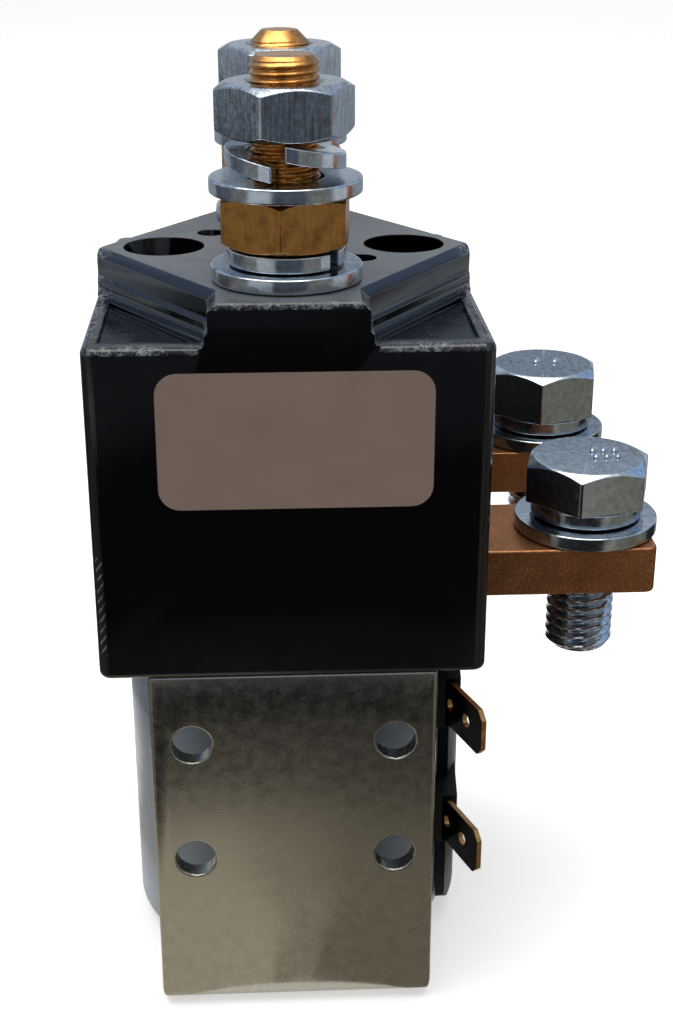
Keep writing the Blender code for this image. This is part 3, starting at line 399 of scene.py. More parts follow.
def zinc_plated_strip(metal):
    """Zinc-plated cold-rolled strip, handled and dulled: blurred reflection, grey clouds, dry pale specks."""
    mat, cloud, speck = start_finish("zinc_plated_strip", (EVEN, 0.5, 5.0, 0.6),
                                     (EVEN, 3.4, 4.0, 0.75), Metallic=1.0)
    dry = add_node(mat.node_tree, "ShaderNodeMath", {0: speck.outputs[0], 1: cloud.outputs[0]},
                   operation="MULTIPLY")
    shades = (cloud, 0.34, 0.66, 0.88, 1.05), (speck, 0.35, 0.7, 0.92, 1.12)
    return end_finish(mat, rgba(metal.strip), shades, (dry, 0.18, 0.36, 0.22, 0.34), (speck, 0.2, 0.02))


def moulded_phenolic(housing):
    """Compression-moulded phenolic: deep glossy black, dusty tops, scuffed rims, nicks at the left edge."""
    mat, film, specks = start_finish("moulded_phenolic", (EVEN, 0.3, 6.0, 0.65),
                                     (EVEN, 1.7, 6.0, 0.8), IOR=1.6, Specular_IOR_Level=0.4)
    tree = mat.node_tree
    facing = add_node(tree, "ShaderNodeNewGeometry")
    normal = add_node(tree, "ShaderNodeSeparateXYZ", {0: facing.outputs["True Normal"]})
    # The film's own noise already reads the place in millimetres
    place = add_node(tree, "ShaderNodeSeparateXYZ", {0: film.inputs["Vector"].links[0].from_socket})
    known = {"x": place.outputs[0], "y": place.outputs[1], "z": place.outputs[2], "up": normal.outputs[2],
             "film": film.outputs[0], "specks": specks.outputs[0]}
    # Heights and reaches are in millimetres: the ledges end at x 27.75, y 33.25 and z 108
    for label, operation, *terms in (
            ("reach_x", "ABSOLUTE", "x"), ("reach_y", "ABSOLUTE", "y"),
            ("rim_x", "MULTIPLY_ADD", "reach_x", 0.4, -10.0),
            ("rim_y", "MULTIPLY_ADD", "reach_y", 0.4, -12.2),
            ("outer", "MAXIMUM", "rim_x", "rim_y"), ("high", "MULTIPLY_ADD", "z", 1.0, -106.4),
            ("leaning", "MULTIPLY_ADD", "up", 4.0, -0.3), ("rim", "MULTIPLY", "outer", "high"),
            ("rim_top", "MULTIPLY", "rim", "leaning"), ("dots", "MULTIPLY_ADD", "specks", 11.0, -5.3),
            ("patchy", "MULTIPLY_ADD", "film", 7.0, -2.9), ("sparse", "MULTIPLY", "dots", "patchy"),
            ("scuffs", "MULTIPLY", "rim_top", "sparse"), ("level", "MULTIPLY_ADD", "up", 6.0, -5.0),
            ("veil", "MULTIPLY_ADD", "film", 0.6, 0.1), ("roof", "MULTIPLY_ADD", "z", 2.0, -225.0),
            ("film_up", "MULTIPLY", "level", "veil"), ("dust", "MULTIPLY", "film_up", "roof"),
            ("grains", "MULTIPLY_ADD", "specks", 9.0, -5.6), ("loose", "MULTIPLY", "level", "grains"),
            ("some", "MAXIMUM", "dust", "scuffs"), ("cover", "MAXIMUM", "some", "loose"),
            ("left", "MULTIPLY_ADD", "x", -2.5, -65.5), ("front", "MULTIPLY_ADD", "y", -3.0, -97.5),
            ("edge", "MULTIPLY", "left", "front"), ("slope", "MULTIPLY_ADD", "x", -1.6, "z"),
            ("turns", "MULTIPLY", "slope", 0.62), ("beat", "FRACT", "turns"),
            ("nick", "LESS_THAN", "beat", 0.28), ("band", "COMPARE", "z", 70.5, 7.5),
            ("row", "MULTIPLY", "nick", "band"),
            ("broken", "GREATER_THAN", "specks", 0.47), ("marks", "MULTIPLY", "row", "broken"),
            ("strong", "MULTIPLY", "marks", "edge"), ("nicks", "MULTIPLY", "strong", 0.42),
            ("worn", "MAXIMUM", "cover", "nicks")):
        terms = {i: known.get(term, term) for i, term in enumerate(terms)}
        clamped = operation in ("MULTIPLY_ADD", "MULTIPLY") and label not in ("slope", "turns")
        node = add_node(tree, "ShaderNodeMath", terms, operation=operation, use_clamp=clamped)
        known[label] = node.outputs[0]
    base = add_node(tree, "ShaderNodeMix", {0: known["worn"], 6: rgba(housing.colour), 7: rgba(housing.dust)},
                    data_type="RGBA")
    end_finish(mat, base.outputs[2], (), (film, 0.3, 0.75, 0.10, 0.24), (film, 0.1, 0.1))
    # Where it is worn it is rougher too
    shine = tree.nodes["Principled BSDF"].inputs["Roughness"]
    gloss = shine.links[0].from_socket
    rough = add_node(tree, "ShaderNodeMath", {0: known["worn"], 1: 0.45, 2: gloss}, operation="MULTIPLY_ADD")
    tree.links.new(rough.outputs[0], shine)
    return mat


def turned_brass(metal):
    """Turned brass, handled: warm gold mirror with brown stains and fine lines along the bar."""
    mat, stain, lines = start_finish("turned_brass", (EVEN, 0.42, 6.0, 0.7),
                                     ((1.0, 1.0, 0.12), 3.2, 3.0, 0.5), Metallic=1.0)
    tone = two_tones(mat, (stain, 0.46, 0.72, 0.0, 0.8), rgba(metal.brass), rgba(metal.brass_stain))
    return end_finish(mat, tone, ((lines, 0.32, 0.68, 0.82, 1.05),), (stain, 0.3, 0.7, 0.2, 0.38),
                      (lines, 0.3, 0.015))


def punched_brass_shaded(metal):
    """Punched brass sheet with tarnish clouds: flat faces dark brown as painted shade, sheared edges and hole
    walls golden as a painted highlight.
    """
    mat, tarnish = start_finish("punched_brass_shaded", (EVEN, 0.6, 5.0, 0.7), Metallic=1.0)
    tree = mat.node_tree
    facing = add_node(tree, "ShaderNodeNewGeometry")
    turn = math.radians(TAB_YAW)
    across = (-math.cos(turn), -math.sin(turn), 0.0)
    flat = add_node(tree, "ShaderNodeVectorMath", {0: facing.outputs["True Normal"], 1: across},
                    operation="DOT_PRODUCT")
    size = add_node(tree, "ShaderNodeMath", {0: flat.outputs["Value"]}, operation="ABSOLUTE")
    # Painted shade and highlight: faces square to the tab take the dark colour, edges and hole walls take the
    # lit gold
    tone = two_tones(mat, (size, 0.85, 0.97, 0.0, 1.0), rgba(metal.tab_lit_edge), rgba(metal.tab_shaded_face))
    return end_finish(mat, tone, ((tarnish, 0.35, 0.7, 0.6, 1.1),), (tarnish, 0.3, 0.7, 0.16, 0.3))


def rolled_copper(metal):
    """Rolled copper bar, lightly oxidised: satin red-brown, darker oxide clouds, fine yellow specks as painted
    glints.
    """
    mat, oxide, sparkle = start_finish("rolled_copper", (EVEN, 0.3, 6.0, 0.65),
                                       (EVEN, 3.0, 3.0, 0.8), Metallic=1.0)
    # Painted glints: pale yellow specks, made up to 1.3 times brighter by the sparkle shade
    tone = two_tones(mat, (sparkle, 0.54, 0.68, 0.0, 0.8), rgba(metal.copper), rgba(metal.copper_glint))
    shades = (oxide, 0.3, 0.72, 1.05, 0.7), (sparkle, 0.35, 0.7, 0.75, 1.3)
    return end_finish(mat, tone, shades, (sparkle, 0.3, 0.7, 0.34, 0.55), (sparkle, 0.4, 0.03))


def polyester_film(coil):
    """Polyester film wound on tight: smooth blue-grey satin, slow shade changes, faint wrap ripples."""
    mat, ripple = start_finish("polyester_film", ((0.3, 0.3, 1.0), 0.25, 2.0, 0.5), IOR=1.57)
    return end_finish(mat, rgba(coil.film), ((ripple, 0.3, 0.7, 0.92, 1.05),),
                      (ripple, 0.3, 0.7, 0.24, 0.34), (ripple, 0.15, 0.05))


def moulded_nylon(coil):
    """Injection-moulded glass-filled nylon: matt near-black with a fine grain."""
    mat, grain = start_finish("moulded_nylon", (EVEN, 2.2, 4.0, 0.7), IOR=1.53, Specular_IOR_Level=0.3)
    return end_finish(mat, rgba(coil.plastic), ((grain, 0.3, 0.75, 0.7, 1.5),),
                      (grain, 0.3, 0.7, 0.36, 0.55), (grain, 0.25, 0.03))


def label_film(coil):
    """Polyester label left bare: smooth taupe satin with slight shade changes and a faint emboss."""
    mat, cloud, fibre = start_finish("label_film", (EVEN, 0.15, 4.0, 0.5), (EVEN, 2.5, 3.0, 0.5), IOR=1.5)
    return end_finish(mat, rgba(coil.label), ((cloud, 0.3, 0.7, 0.94, 1.05),),
                      (cloud, 0.3, 0.7, 0.34, 0.46), (fibre, 0.1, 0.02))


def inner_finish(name, dark, light, scale, stretch, rough, metallic, relief):
    """Return a finish for a hidden piece: two tones of its material, mixed in streaks or grains."""
    mat, grain = start_finish(name, (stretch, scale, 4.0, 0.5), Metallic=metallic)
    tone = two_tones(mat, (grain, 0.3, 0.7, 0.0, 1.0), linear(dark), linear(light))
    return end_finish(mat, tone, (), (grain, 0.3, 0.7, *rough), (grain, 0.3, relief))


def tree_with(name, **sockets):
    """Return a new geometry tree with inputs named by kind, its input node and its output node."""
    tree = bpy.data.node_groups.new(name, "GeometryNodeTree")
    for kind, labels in sockets.items():
        for label in labels:
            tree.interface.new_socket(name=label, in_out="INPUT", socket_type=f"NodeSocket{kind}")
    tree.interface.new_socket(name="Geometry", in_out="OUTPUT", socket_type="NodeSocketGeometry")
    return tree, add_node(tree, "NodeGroupInput"), add_node(tree, "NodeGroupOutput")


def end_tree(tree, geometry, material, out):
    """Finish a tree with Realize Instances and Set Material."""
    smooth = add_node(tree, "GeometryNodeSetShadeSmooth", {"Geometry": geometry})
    real = add_node(tree, "GeometryNodeRealizeInstances", {"Geometry": smooth.outputs[0]})
    last = add_node(tree, "GeometryNodeSetMaterial", {"Geometry": real.outputs[0], "Material": material})
    tree.links.new(last.outputs[0], out.inputs[0])


def thread_tree():
    """Threaded rod from z 0 up: a grid wrapped round, its radius following the helix."""
    tree, given, out = tree_with("threaded_rod", Float=("Radius", "Length", "Pitch", "Depth", "Chamfer"),
                                 Int=("Segments", "Rows"), Material=("Material",))
    known = {socket.name: socket for socket in given.outputs if socket.name}
    columns = add_node(tree, "ShaderNodeMath", {0: known["Segments"], 1: 1.0}, operation="ADD")
    grid = add_node(tree, "GeometryNodeMeshGrid", {
        "Size X": 1.0, "Size Y": 1.0, "Vertices X": columns.outputs[0], "Vertices Y": known["Rows"]})
    place = add_node(tree, "GeometryNodeInputPosition")
    split = add_node(tree, "ShaderNodeSeparateXYZ", {0: place.outputs[0]})
    known["x"], known["y"] = split.outputs[0], split.outputs[1]
    # The first and last rows close the ends; a crest and a root are each an eighth of the pitch wide
    for label, operation, *terms in (
            ("across", "ADD", "x", 0.5), ("up", "ADD", "y", 0.5), ("last", "SUBTRACT", "Rows", 1.0),
            ("step", "MULTIPLY", "up", "last"), ("row", "ROUND", "step"),
            ("from_first", "SUBTRACT", "row", 1.0),
            ("spans", "SUBTRACT", "Rows", 3.0), ("share", "DIVIDE", "from_first", "spans"),
            ("not_over", "MINIMUM", "share", 1.0), ("part", "MAXIMUM", "not_over", 0.0),
            ("height", "MULTIPLY", "part", "Length"), ("turns", "DIVIDE", "height", "Pitch"),
            ("lead", "SUBTRACT", "turns", "across"), ("phase", "FRACT", "lead"),
            ("swing", "MULTIPLY_ADD", "phase", 2.0, -1.0), ("ridge", "ABSOLUTE", "swing"),
            ("flank", "MULTIPLY_ADD", "ridge", -1.35, 1.175), ("groove", "MINIMUM", "flank", 1.0),
            ("cut", "MAXIMUM", "groove", 0.0), ("deep", "MULTIPLY", "cut", "Depth"),
            ("wall", "SUBTRACT", "Radius", "deep"), ("below", "SUBTRACT", "Length", "height"),
            ("near", "MINIMUM", "height", "below"), ("cone", "SUBTRACT", "Radius", "Chamfer"),
            ("limit", "ADD", "cone", "near"), ("body", "MINIMUM", "wall", "limit"),
            ("after", "GREATER_THAN", "row", 0.5), ("end", "SUBTRACT", "last", 0.5),
            ("before", "LESS_THAN", "row", "end"), ("inside", "MULTIPLY", "after", "before"),
            ("radius", "MULTIPLY", "body", "inside"), ("angle", "MULTIPLY", "across", TURN),
            ("cosine", "COSINE", "angle"), ("sine", "SINE", "angle"),
            ("to_x", "MULTIPLY", "radius", "cosine"), ("to_y", "MULTIPLY", "radius", "sine")):
        terms = {i: known.get(term, term) for i, term in enumerate(terms)}
        known[label] = add_node(tree, "ShaderNodeMath", terms, operation=operation).outputs[0]
    point = add_node(tree, "ShaderNodeCombineXYZ", {0: known["to_x"], 1: known["to_y"], 2: known["height"]})
    moved = add_node(tree, "GeometryNodeSetPosition", {
        "Geometry": grid.outputs[0], "Position": point.outputs[0]})
    closed = add_node(tree, "GeometryNodeMergeByDistance", {"Geometry": moved.outputs[0], "Distance": 1e-6})
    end_tree(tree, closed.outputs[0], known["Material"], out)
    return tree


def spring_tree():
    """Round wire along a spiral, with closed ends."""
    tree, given, out = tree_with("wound_spring", Float=("Radius", "Wire", "Height", "Turns"),
                                 Material=("Material",))
    value = given.outputs
    path = add_node(tree, "GeometryNodeCurveSpiral", {
        "Resolution": 40, "Rotations": value["Turns"], "Start Radius": value["Radius"],
        "End Radius": value["Radius"], "Height": value["Height"]})
    wire = add_node(tree, "GeometryNodeCurvePrimitiveCircle", {"Resolution": 12, "Radius": value["Wire"]})
    body = add_node(tree, "GeometryNodeCurveToMesh", {
        "Curve": path.outputs[0], "Profile Curve": wire.outputs[0], "Fill Caps": True})
    end_tree(tree, body.outputs[0], value["Material"], out)
    return tree


def stamp_tree():
    """Rows of plain raised strokes, as struck on a bolt head."""
    tree, given, out = tree_with("struck_marks", Int=("Columns", "Rows"), Vector=("Spacing", "Stroke"),
                                 Float=("Slant",), Material=("Material",))
    value = given.outputs
    gap = add_node(tree, "ShaderNodeSeparateXYZ", {0: value["Spacing"]})
    spans = {}
    for label, operation, one, two in (
            ("columns", "SUBTRACT", value["Columns"], 1.0), ("rows", "SUBTRACT", value["Rows"], 1.0),
            ("wide", "MULTIPLY", "columns", gap.outputs[0]), ("tall", "MULTIPLY", "rows", gap.outputs[1])):
        terms = {0: spans.get(one, one), 1: two}
        spans[label] = add_node(tree, "ShaderNodeMath", terms, operation=operation).outputs[0]
    grid = add_node(tree, "GeometryNodeMeshGrid", {
        "Size X": spans["wide"], "Size Y": spans["tall"], "Vertices X": value["Columns"],
        "Vertices Y": value["Rows"]})
    stroke = add_node(tree, "GeometryNodeMeshUVSphere", {"Segments": 20, "Rings": 12, "Radius": 1.0})
    turn = add_node(tree, "ShaderNodeCombineXYZ", {2: value["Slant"]})
    marks = add_node(tree, "GeometryNodeInstanceOnPoints", {
        "Points": grid.outputs[0], "Instance": stroke.outputs[0], "Rotation": turn.outputs[0],
        "Scale": value["Stroke"]})
    end_tree(tree, marks.outputs[0], value["Material"], out)
    return tree


def grow(bm, place, name, maker, values):
    """Add at a place what a geometry tree, made on its first use, gives for its inputs."""
    tree = bpy.data.node_groups.get(name) or maker()
    holder = placed(name, bpy.data.meshes.new(name))
    step = holder.modifiers.new("shape", "NODES")
    step.node_group = tree
    for item in tree.interface.items_tree:
        if item.in_out == "INPUT":
            step[item.identifier] = values[item.name]
    graph = bpy.context.evaluated_depsgraph_get()
    mesh = bpy.data.meshes.new_from_object(holder.evaluated_get(graph))
    bpy.data.objects.remove(holder)
    if not mesh.polygons:
        raise RuntimeError(f"{name} came out empty")
    mesh.transform(Matrix.Translation(place))
    bm.from_mesh(mesh)


def threaded_rod(bm, settings, low, high, centre, chamfer, stud, mat):
    """Add an upright threaded rod with the stud's or the bolt's thread."""
    radius, pitch, depth = ((settings.stud_radius, settings.stud_pitch, settings.stud_depth) if stud
                            else (settings.radius, settings.bolt_pitch, settings.bolt_depth))
    grow(bm, (centre[0], centre[1], low), "threaded_rod", thread_tree, {
        "Radius": radius, "Length": high - low, "Pitch": pitch, "Depth": depth, "Chamfer": chamfer,
        "Segments": settings.segments, "Rows": round((high - low) / pitch * ROWS_PER_TURN) + 4,
        "Material": mat})


def hexagon_plan(corner, half, nose, flat_steps=10):
    """Return the plan of a hexagon with round corners, as offsets from its centre."""
    arm = (half - nose) / math.cos(TURN / 12.0)
    arcs = []
    for k in range(6):
        base = corner + TURN * k / 6.0
        here = Vector((arm * math.cos(base), arm * math.sin(base)))
        turns = [base + math.radians(angle) for angle in range(-30, 31, 10)]
        arcs.append([here + nose * Vector((math.cos(a), math.sin(a))) for a in turns])
    points = []
    for arc, following in zip(arcs, arcs[1:] + arcs[:1]):
        points += arc + [arc[-1].lerp(following[0], s / flat_steps) for s in range(1, flat_steps)]
    return points


def hexagon_body(bm, centre, corner, reach, low, high, bore, cut, nose):
    """Add a hexagon with round corners and cone-cut ends: a nut, or a solid bolt head when bore is 0."""
    half = reach * math.cos(TURN / 12.0)
    crown = half - cut
    slope = math.tan(TURN / 12.0)
    lip = 0.5 * MM
    rings = []
    for point in hexagon_plan(corner, half, nose):
        out = point.length
        drop = (out - crown) * slope
        if bore:
            loop = [(bore + lip, high), (crown, high), (out, high - drop), (out, low + drop), (crown, low),
                    (bore + lip, low), (bore, low + lip), (bore, high - lip)]
        else:
            loop = [(0.0, high), (crown, high), (out, high - drop), (out, low), (0.0, low)]
        way = point.normalized()
        rings.append([bm.verts.new((centre[0] + r * way.x, centre[1] + r * way.y, z))
                      for r, z in round_corners(loop, 0.35 * cut)])
    size = len(rings[0])
    for one, two in zip(rings, rings[1:] + rings[:1]):
        for s in range(size if bore else size - 1):
            n = (s + 1) % size
            bm.faces.new((one[s], one[n], two[n], two[s]))
    bmesh.ops.remove_doubles(bm, verts=bm.verts, dist=0.001 * MM)


def corner_of(node, centre):
    """Return the angle of one corner of a CAD hexagon and its reach from the centre."""
    best, angle = 0.0, 0.0
    for vertex in frame["nodes"][node].data.vertices:
        x, y = vertex.co.x - centre[0], vertex.co.y - centre[1]
        if math.hypot(x, y) > best + 1e-6:
            best, angle = math.hypot(x, y), math.atan2(y, x)
    return angle, best


class CONTACTOR_OT_frame(bpy.types.Operator):
    """Dress the folded magnet frame and the yoke plate in dulled zinc"""
    bl_idname = "contactor.frame"
    bl_label = "Magnet frame"

    def execute(self, context):
        mat = finish_of(zinc_plated_strip, context.scene.contactor.metal)
        softened("magnet_frame", mat, 0.4 * MM, segments=3, angle=50.0, clamp=False)
        softened("yoke_plate", mat, 0.25 * MM)
        return {"FINISHED"}


class CONTACTOR_OT_coil(bpy.types.Operator):
    """Dress the coil: bobbin, winding, film wrap and guide tube"""
    bl_idname = "contactor.coil"
    bl_label = "Coil"

    def execute(self, context):
        coil = context.scene.contactor.coil
        low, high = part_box("coil_wrap")
        outer = (high[0] - low[0]) / 2.0
        wall = 0.7 * MM
        bm = bmesh.new()
        loop = [(outer - wall, low[2]), (outer, low[2]), (outer, high[2]), (outer - wall, high[2])]
        lathe(bm, round_corners(loop, 0.15 * MM), (0.0, 0.0), 160)
        stand_for(own_body("film_wrap", bm, finish_of(polyester_film, coil)), "coil_wrap")
        softened("coil_bobbin", finish_of(moulded_nylon, coil), EDGE)
        # Enamelled copper wire: dark red-brown lacquer, paler on each turn. Drawn tube: bright, lines along it
        wire = inner_finish("enamelled_wire", "#5A1F0C", "#9A4A22", 1.2, (0.1, 0.1, 1.0),
                            (0.25, 0.4), 0.0, 0.08)
        tube = inner_finish("drawn_brass_tube", "#A87C38", "#C9A25A", 2.0, (1.0, 1.0, 0.1),
                            (0.2, 0.35), 1.0, 0.02)
        give_finish(wire, "coil_winding")
        give_finish(tube, "guide_tube")
        return {"FINISHED"}


class CONTACTOR_OT_terminals(bpy.types.Operator):
    """Dress the terminal strip and the two coil tabs"""
    bl_idname = "contactor.terminals"
    bl_label = "Coil terminals"

    def execute(self, context):
        settings = context.scene.contactor
        softened("terminal_carrier", finish_of(moulded_nylon, settings.coil), EDGE)
        brass = finish_of(punched_brass_shaded, settings.metal)
        for level in ("lower", "upper"):
            softened(f"spade_terminal_{level}", brass, 0.12 * MM)
        return {"FINISHED"}


class CONTACTOR_OT_housing(bpy.types.Operator):
    """Dress the moulded housing and the insulator block inside it"""
    bl_idname = "contactor.housing"
    bl_label = "Housing"

    def execute(self, context):
        settings = context.scene.contactor
        softened("housing", finish_of(moulded_phenolic, settings.housing), settings.housing.edge, angle=36.0,
                 clamp=False)
        give_finish(finish_of(moulded_nylon, settings.coil), "insulator_base")
        return {"FINISHED"}


class CONTACTOR_OT_label(bpy.types.Operator):
    """Dress the bare label on the front"""
    bl_idname = "contactor.label"
    bl_label = "Label"

    def execute(self, context):
        softened("front_label", finish_of(label_film, context.scene.contactor.coil), 0.04 * MM)
        return {"FINISHED"}


class CONTACTOR_OT_studs(bpy.types.Operator):
    """Make the two brass studs with their threads"""
    bl_idname = "contactor.studs"
    bl_label = "Contact studs"

    def execute(self, context):
        settings = context.scene.contactor
        brass = finish_of(turned_brass, settings.metal)
        thread = settings.thread
        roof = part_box("housing")[1][2]
        for side, chamfer in (("front", 0.9 * MM), ("rear", 1.9 * MM)):
            node = f"contact_stud_{side}"
            low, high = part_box(node)
            collar = (high[0] - low[0]) / 2.0
            shoulder = roof - COLLAR_DEPTH
            start = roof - THREAD_DEPTH
            bm = bmesh.new()
            loop = [(0.0, low[2]), (collar, low[2]), (collar, shoulder), (thread.stud_radius, shoulder),
                    (thread.stud_radius, start), (0.0, start)]
            lathe(bm, round_corners(loop, 0.3 * MM), axis_of(node), 72)
            # A micron short, so that rounding never lifts the tip over its CAD box
            tip = high[2] - 0.001 * MM
            threaded_rod(bm, thread, start - chamfer, tip, axis_of(node), chamfer, True, brass)
            even_normals(stand_for(own_body(f"threaded_stud_{side}", bm, brass), node))
        return {"FINISHED"}


class CONTACTOR_OT_nuts(bpy.types.Operator):
    """Make the hexagon nuts"""
    bl_idname = "contactor.nuts"
    bl_label = "Nuts"

    def execute(self, context):
        settings = context.scene.contactor
        for side in SIDES:
            centre = axis_of(f"contact_stud_{side}")
            for stem, maker, cut, nose in (("brass_nut", turned_brass, 0.2 * MM, 0.3 * MM),
                                           ("lug_nut", bright_zinc_bar, HEX_CUT, 0.95 * MM)):
                node = f"{stem}_{side}"
                low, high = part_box(node)
                corner, reach = corner_of(node, centre)
                bm = bmesh.new()
                hexagon_body(bm, centre, corner, reach, low[2] - SEAT, high[2] + SEAT,
                             settings.thread.stud_radius + SEAT, cut, nose)
                piece = own_body(f"hex_{node}", bm, finish_of(maker, settings.metal))
                even_normals(stand_for(piece, node))
        return {"FINISHED"}


class CONTACTOR_OT_washers(bpy.types.Operator):
    """Make the flat washers and dress the split washers"""
    bl_idname = "contactor.washers"
    bl_label = "Washers"

    def execute(self, context):
        zinc = finish_of(bright_zinc_plate, context.scene.contactor.metal)
        bore = context.scene.contactor.thread.radius + 0.28 * MM
        for side in SIDES:
            for stem in ("seat_washer", "lug_washer", "side_washer"):
                node = f"{stem}_{side}"
                low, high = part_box(node)
                outer = (high[0] - low[0]) / 2.0
                z0, z1 = low[2] - SEAT, high[2] + SEAT
                bm = bmesh.new()
                loop = [(bore, z0), (outer, z0), (outer, z1), (bore, z1)]
                lathe(bm, round_corners(loop, 0.3 * MM), axis_of(node))
                even_normals(stand_for(own_body(f"round_{node}", bm, zinc), node))
            for stem in ("seat_lock_washer", "lug_lock_washer", "side_lock_washer"):
                softened(f"{stem}_{side}", zinc, 0.25 * MM, segments=3, angle=50.0)
        return {"FINISHED"}


class CONTACTOR_OT_busbars(bpy.types.Operator):
    """Dress the copper busbars"""
    bl_idname = "contactor.busbars"
    bl_label = "Busbars"

    def execute(self, context):
        copper = finish_of(rolled_copper, context.scene.contactor.metal)
        for side in SIDES:
            softened(f"busbar_{side}", copper, 0.35 * MM, segments=3)
        return {"FINISHED"}


class CONTACTOR_OT_bolts(bpy.types.Operator):
    """Make the side bolts with plain struck marks, and dress the housing screws"""
    bl_idname = "contactor.bolts"
    bl_label = "Bolts and screws"

    def execute(self, context):
        settings = context.scene.contactor
        zinc = finish_of(bright_zinc_plate, settings.metal)
        marks = {"front": ((3, 2), (1.6, 2.6, 0.0), (0.95, 0.42, 0.55), (2.6, 0.4)),
                 "rear": ((2, 1), (3.2, 1.0, 0.0), (1.1, 0.5, 0.6), (0.6, 0.6))}
        for side in SIDES:
            node = f"side_bolt_{side}"
            low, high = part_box(node)
            centre = axis_of(f"side_washer_{side}")
            corner, reach = corner_of(node, centre)
            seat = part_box(f"side_lock_washer_{side}")[1][2] + SEAT
            bm = bmesh.new()
            hexagon_body(bm, centre, corner, reach, seat, high[2], 0.0, HEX_CUT, HEX_NOSE)
            threaded_rod(bm, settings.thread, low[2], seat + 1.0 * MM, centre, 0.9 * MM, False, zinc)
            count, spacing, stroke, offset = marks[side]
            place = (centre[0] + offset[0] * MM, centre[1] + offset[1] * MM, high[2])
            grow(bm, place, "struck_marks", stamp_tree, {
                "Columns": count[0], "Rows": count[1], "Spacing": [v * MM for v in spacing],
                "Stroke": [v * MM for v in stroke], "Slant": math.radians(62.0), "Material": zinc})
            even_normals(stand_for(own_body(f"hex_{node}", bm, zinc), node))
        for side in ("left", "right"):
            softened(f"housing_screw_{side}", zinc, EDGE)
        return {"FINISHED"}


class CONTACTOR_OT_mechanism(bpy.types.Operator):
    """Dress the magnet core, the armature, the bridge and the contact tips"""
    bl_idname = "contactor.mechanism"
    bl_label = "Mechanism"

    def execute(self, context):
        settings = context.scene.contactor
        # Annealed iron: dull grey, streaked. Moulded acetal: cream satin. Silver alloy: pale, worn and grainy
        iron = inner_finish("annealed_iron", "#6C6C6A", "#9C9B97", 1.5, (0.15, 0.15, 1.0),
                            (0.35, 0.5), 1.0, 0.02)
        acetal = inner_finish("moulded_acetal", "#CFCABF", "#E4E0D6", 1.0, EVEN, (0.35, 0.5), 0.0, 0.02)
        silver = inner_finish("silver_alloy", "#BDB9B0", "#E2DFD8", 1.6, EVEN, (0.3, 0.5), 1.0, 0.03)
        give_finish(iron, "pole_piece", "lower_stop", "plunger")
        give_finish(finish_of(moulded_nylon, settings.coil), "stop_pad")
        give_finish(acetal, "rod_bush")
        give_finish(finish_of(bright_zinc_plate, settings.metal), "push_rod", "rod_washer", "rod_nut")
        give_finish(finish_of(rolled_copper, settings.metal), "contact_bridge")
        give_finish(silver, *[f"{stem}_{side}" for side in SIDES
                              for stem in ("bridge_tip_lower", "bridge_tip_upper", "stud_tip", "busbar_tip")])
        return {"FINISHED"}


class CONTACTOR_OT_springs(bpy.types.Operator):
    """Wind the contact spring and the return spring"""
    bl_idname = "contactor.springs"
    bl_label = "Springs"

    def execute(self, context):
        # Drawn spring wire: dark blue-grey with a satin gloss
        steel = inner_finish("drawn_spring_wire", "#5E6268", "#8D9298", 2.5, EVEN, (0.22, 0.38), 1.0, 0.02)
        lift, follow = TRAVEL["armature_slide"], TRAVEL["bridge_slide"]
        for node, wire, turns, fixed, squeeze in (("contact_spring", 0.55 * MM, 4.0, 0, lift - follow),
                                                  ("return_spring", 0.45 * MM, 5.0, 1, lift)):
            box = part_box(node)
            length = box[1][2] - box[0][2]
            bm = bmesh.new()
            grow(bm, (0.0, 0.0, box[0][2] + wire), "wound_spring", spring_tree, {
                "Radius": (box[1][0] - box[0][0]) / 2.0 - wire, "Wire": wire,
                "Height": length - 2.0 * wire, "Turns": turns, "Material": steel})
            piece = stand_for(own_body(f"wound_{node}", bm, steel), node)
            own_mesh(piece)
        return {"FINISHED"}


def shown_white(tree):
    """Return a socket that is 1 for camera, glossy and transmission rays."""
    rays = add_node(tree, "ShaderNodeLightPath")
    first = add_node(tree, "ShaderNodeMath", {
        0: rays.outputs["Is Camera Ray"], 1: rays.outputs["Is Glossy Ray"]}, operation="MAXIMUM")
    both = add_node(tree, "ShaderNodeMath", {0: first.outputs[0], 1: rays.outputs["Is Transmission Ray"]},
                    operation="MAXIMUM")
    return both.outputs[0]


def reflected_card(name, faces, colour):
    """Add a card that only reflections see, as a photographer's flag."""
    mesh = bpy.data.meshes.new(name)
    points = [corner for face in faces for corner in face]
    mesh.from_pydata(points, [], [range(i, i + 4) for i in range(0, len(points), 4)])
    mat = bpy.data.materials.new(name)
    tree = cleared_tree(mat)
    glow = add_node(tree, "ShaderNodeEmission", {"Color": colour, "Strength": 1.0})
    add_node(tree, "ShaderNodeOutputMaterial", {"Surface": glow.outputs[0]})
    mesh.materials.append(mat)
    card = placed(name, mesh)
    for ray in ("camera", "diffuse", "shadow", "transmission", "volume_scatter"):
        setattr(card, f"visible_{ray}", False)


def arc_strip(radius_a, z_a, radius_b, z_b, start, end, steps=24):
    """Return quads of a strip between two arcs; angles are from -Y towards +X."""
    quads = []
    for k in range(steps):
        a, b = (start + (end - start) * (k + j) / steps for j in (0, 1))
        corners = (a, radius_a, z_a), (b, radius_a, z_a), (b, radius_b, z_b), (a, radius_b, z_b)
        quads.append([(radius * math.sin(t), -radius * math.cos(t), z) for t, radius, z in corners])
    return quads


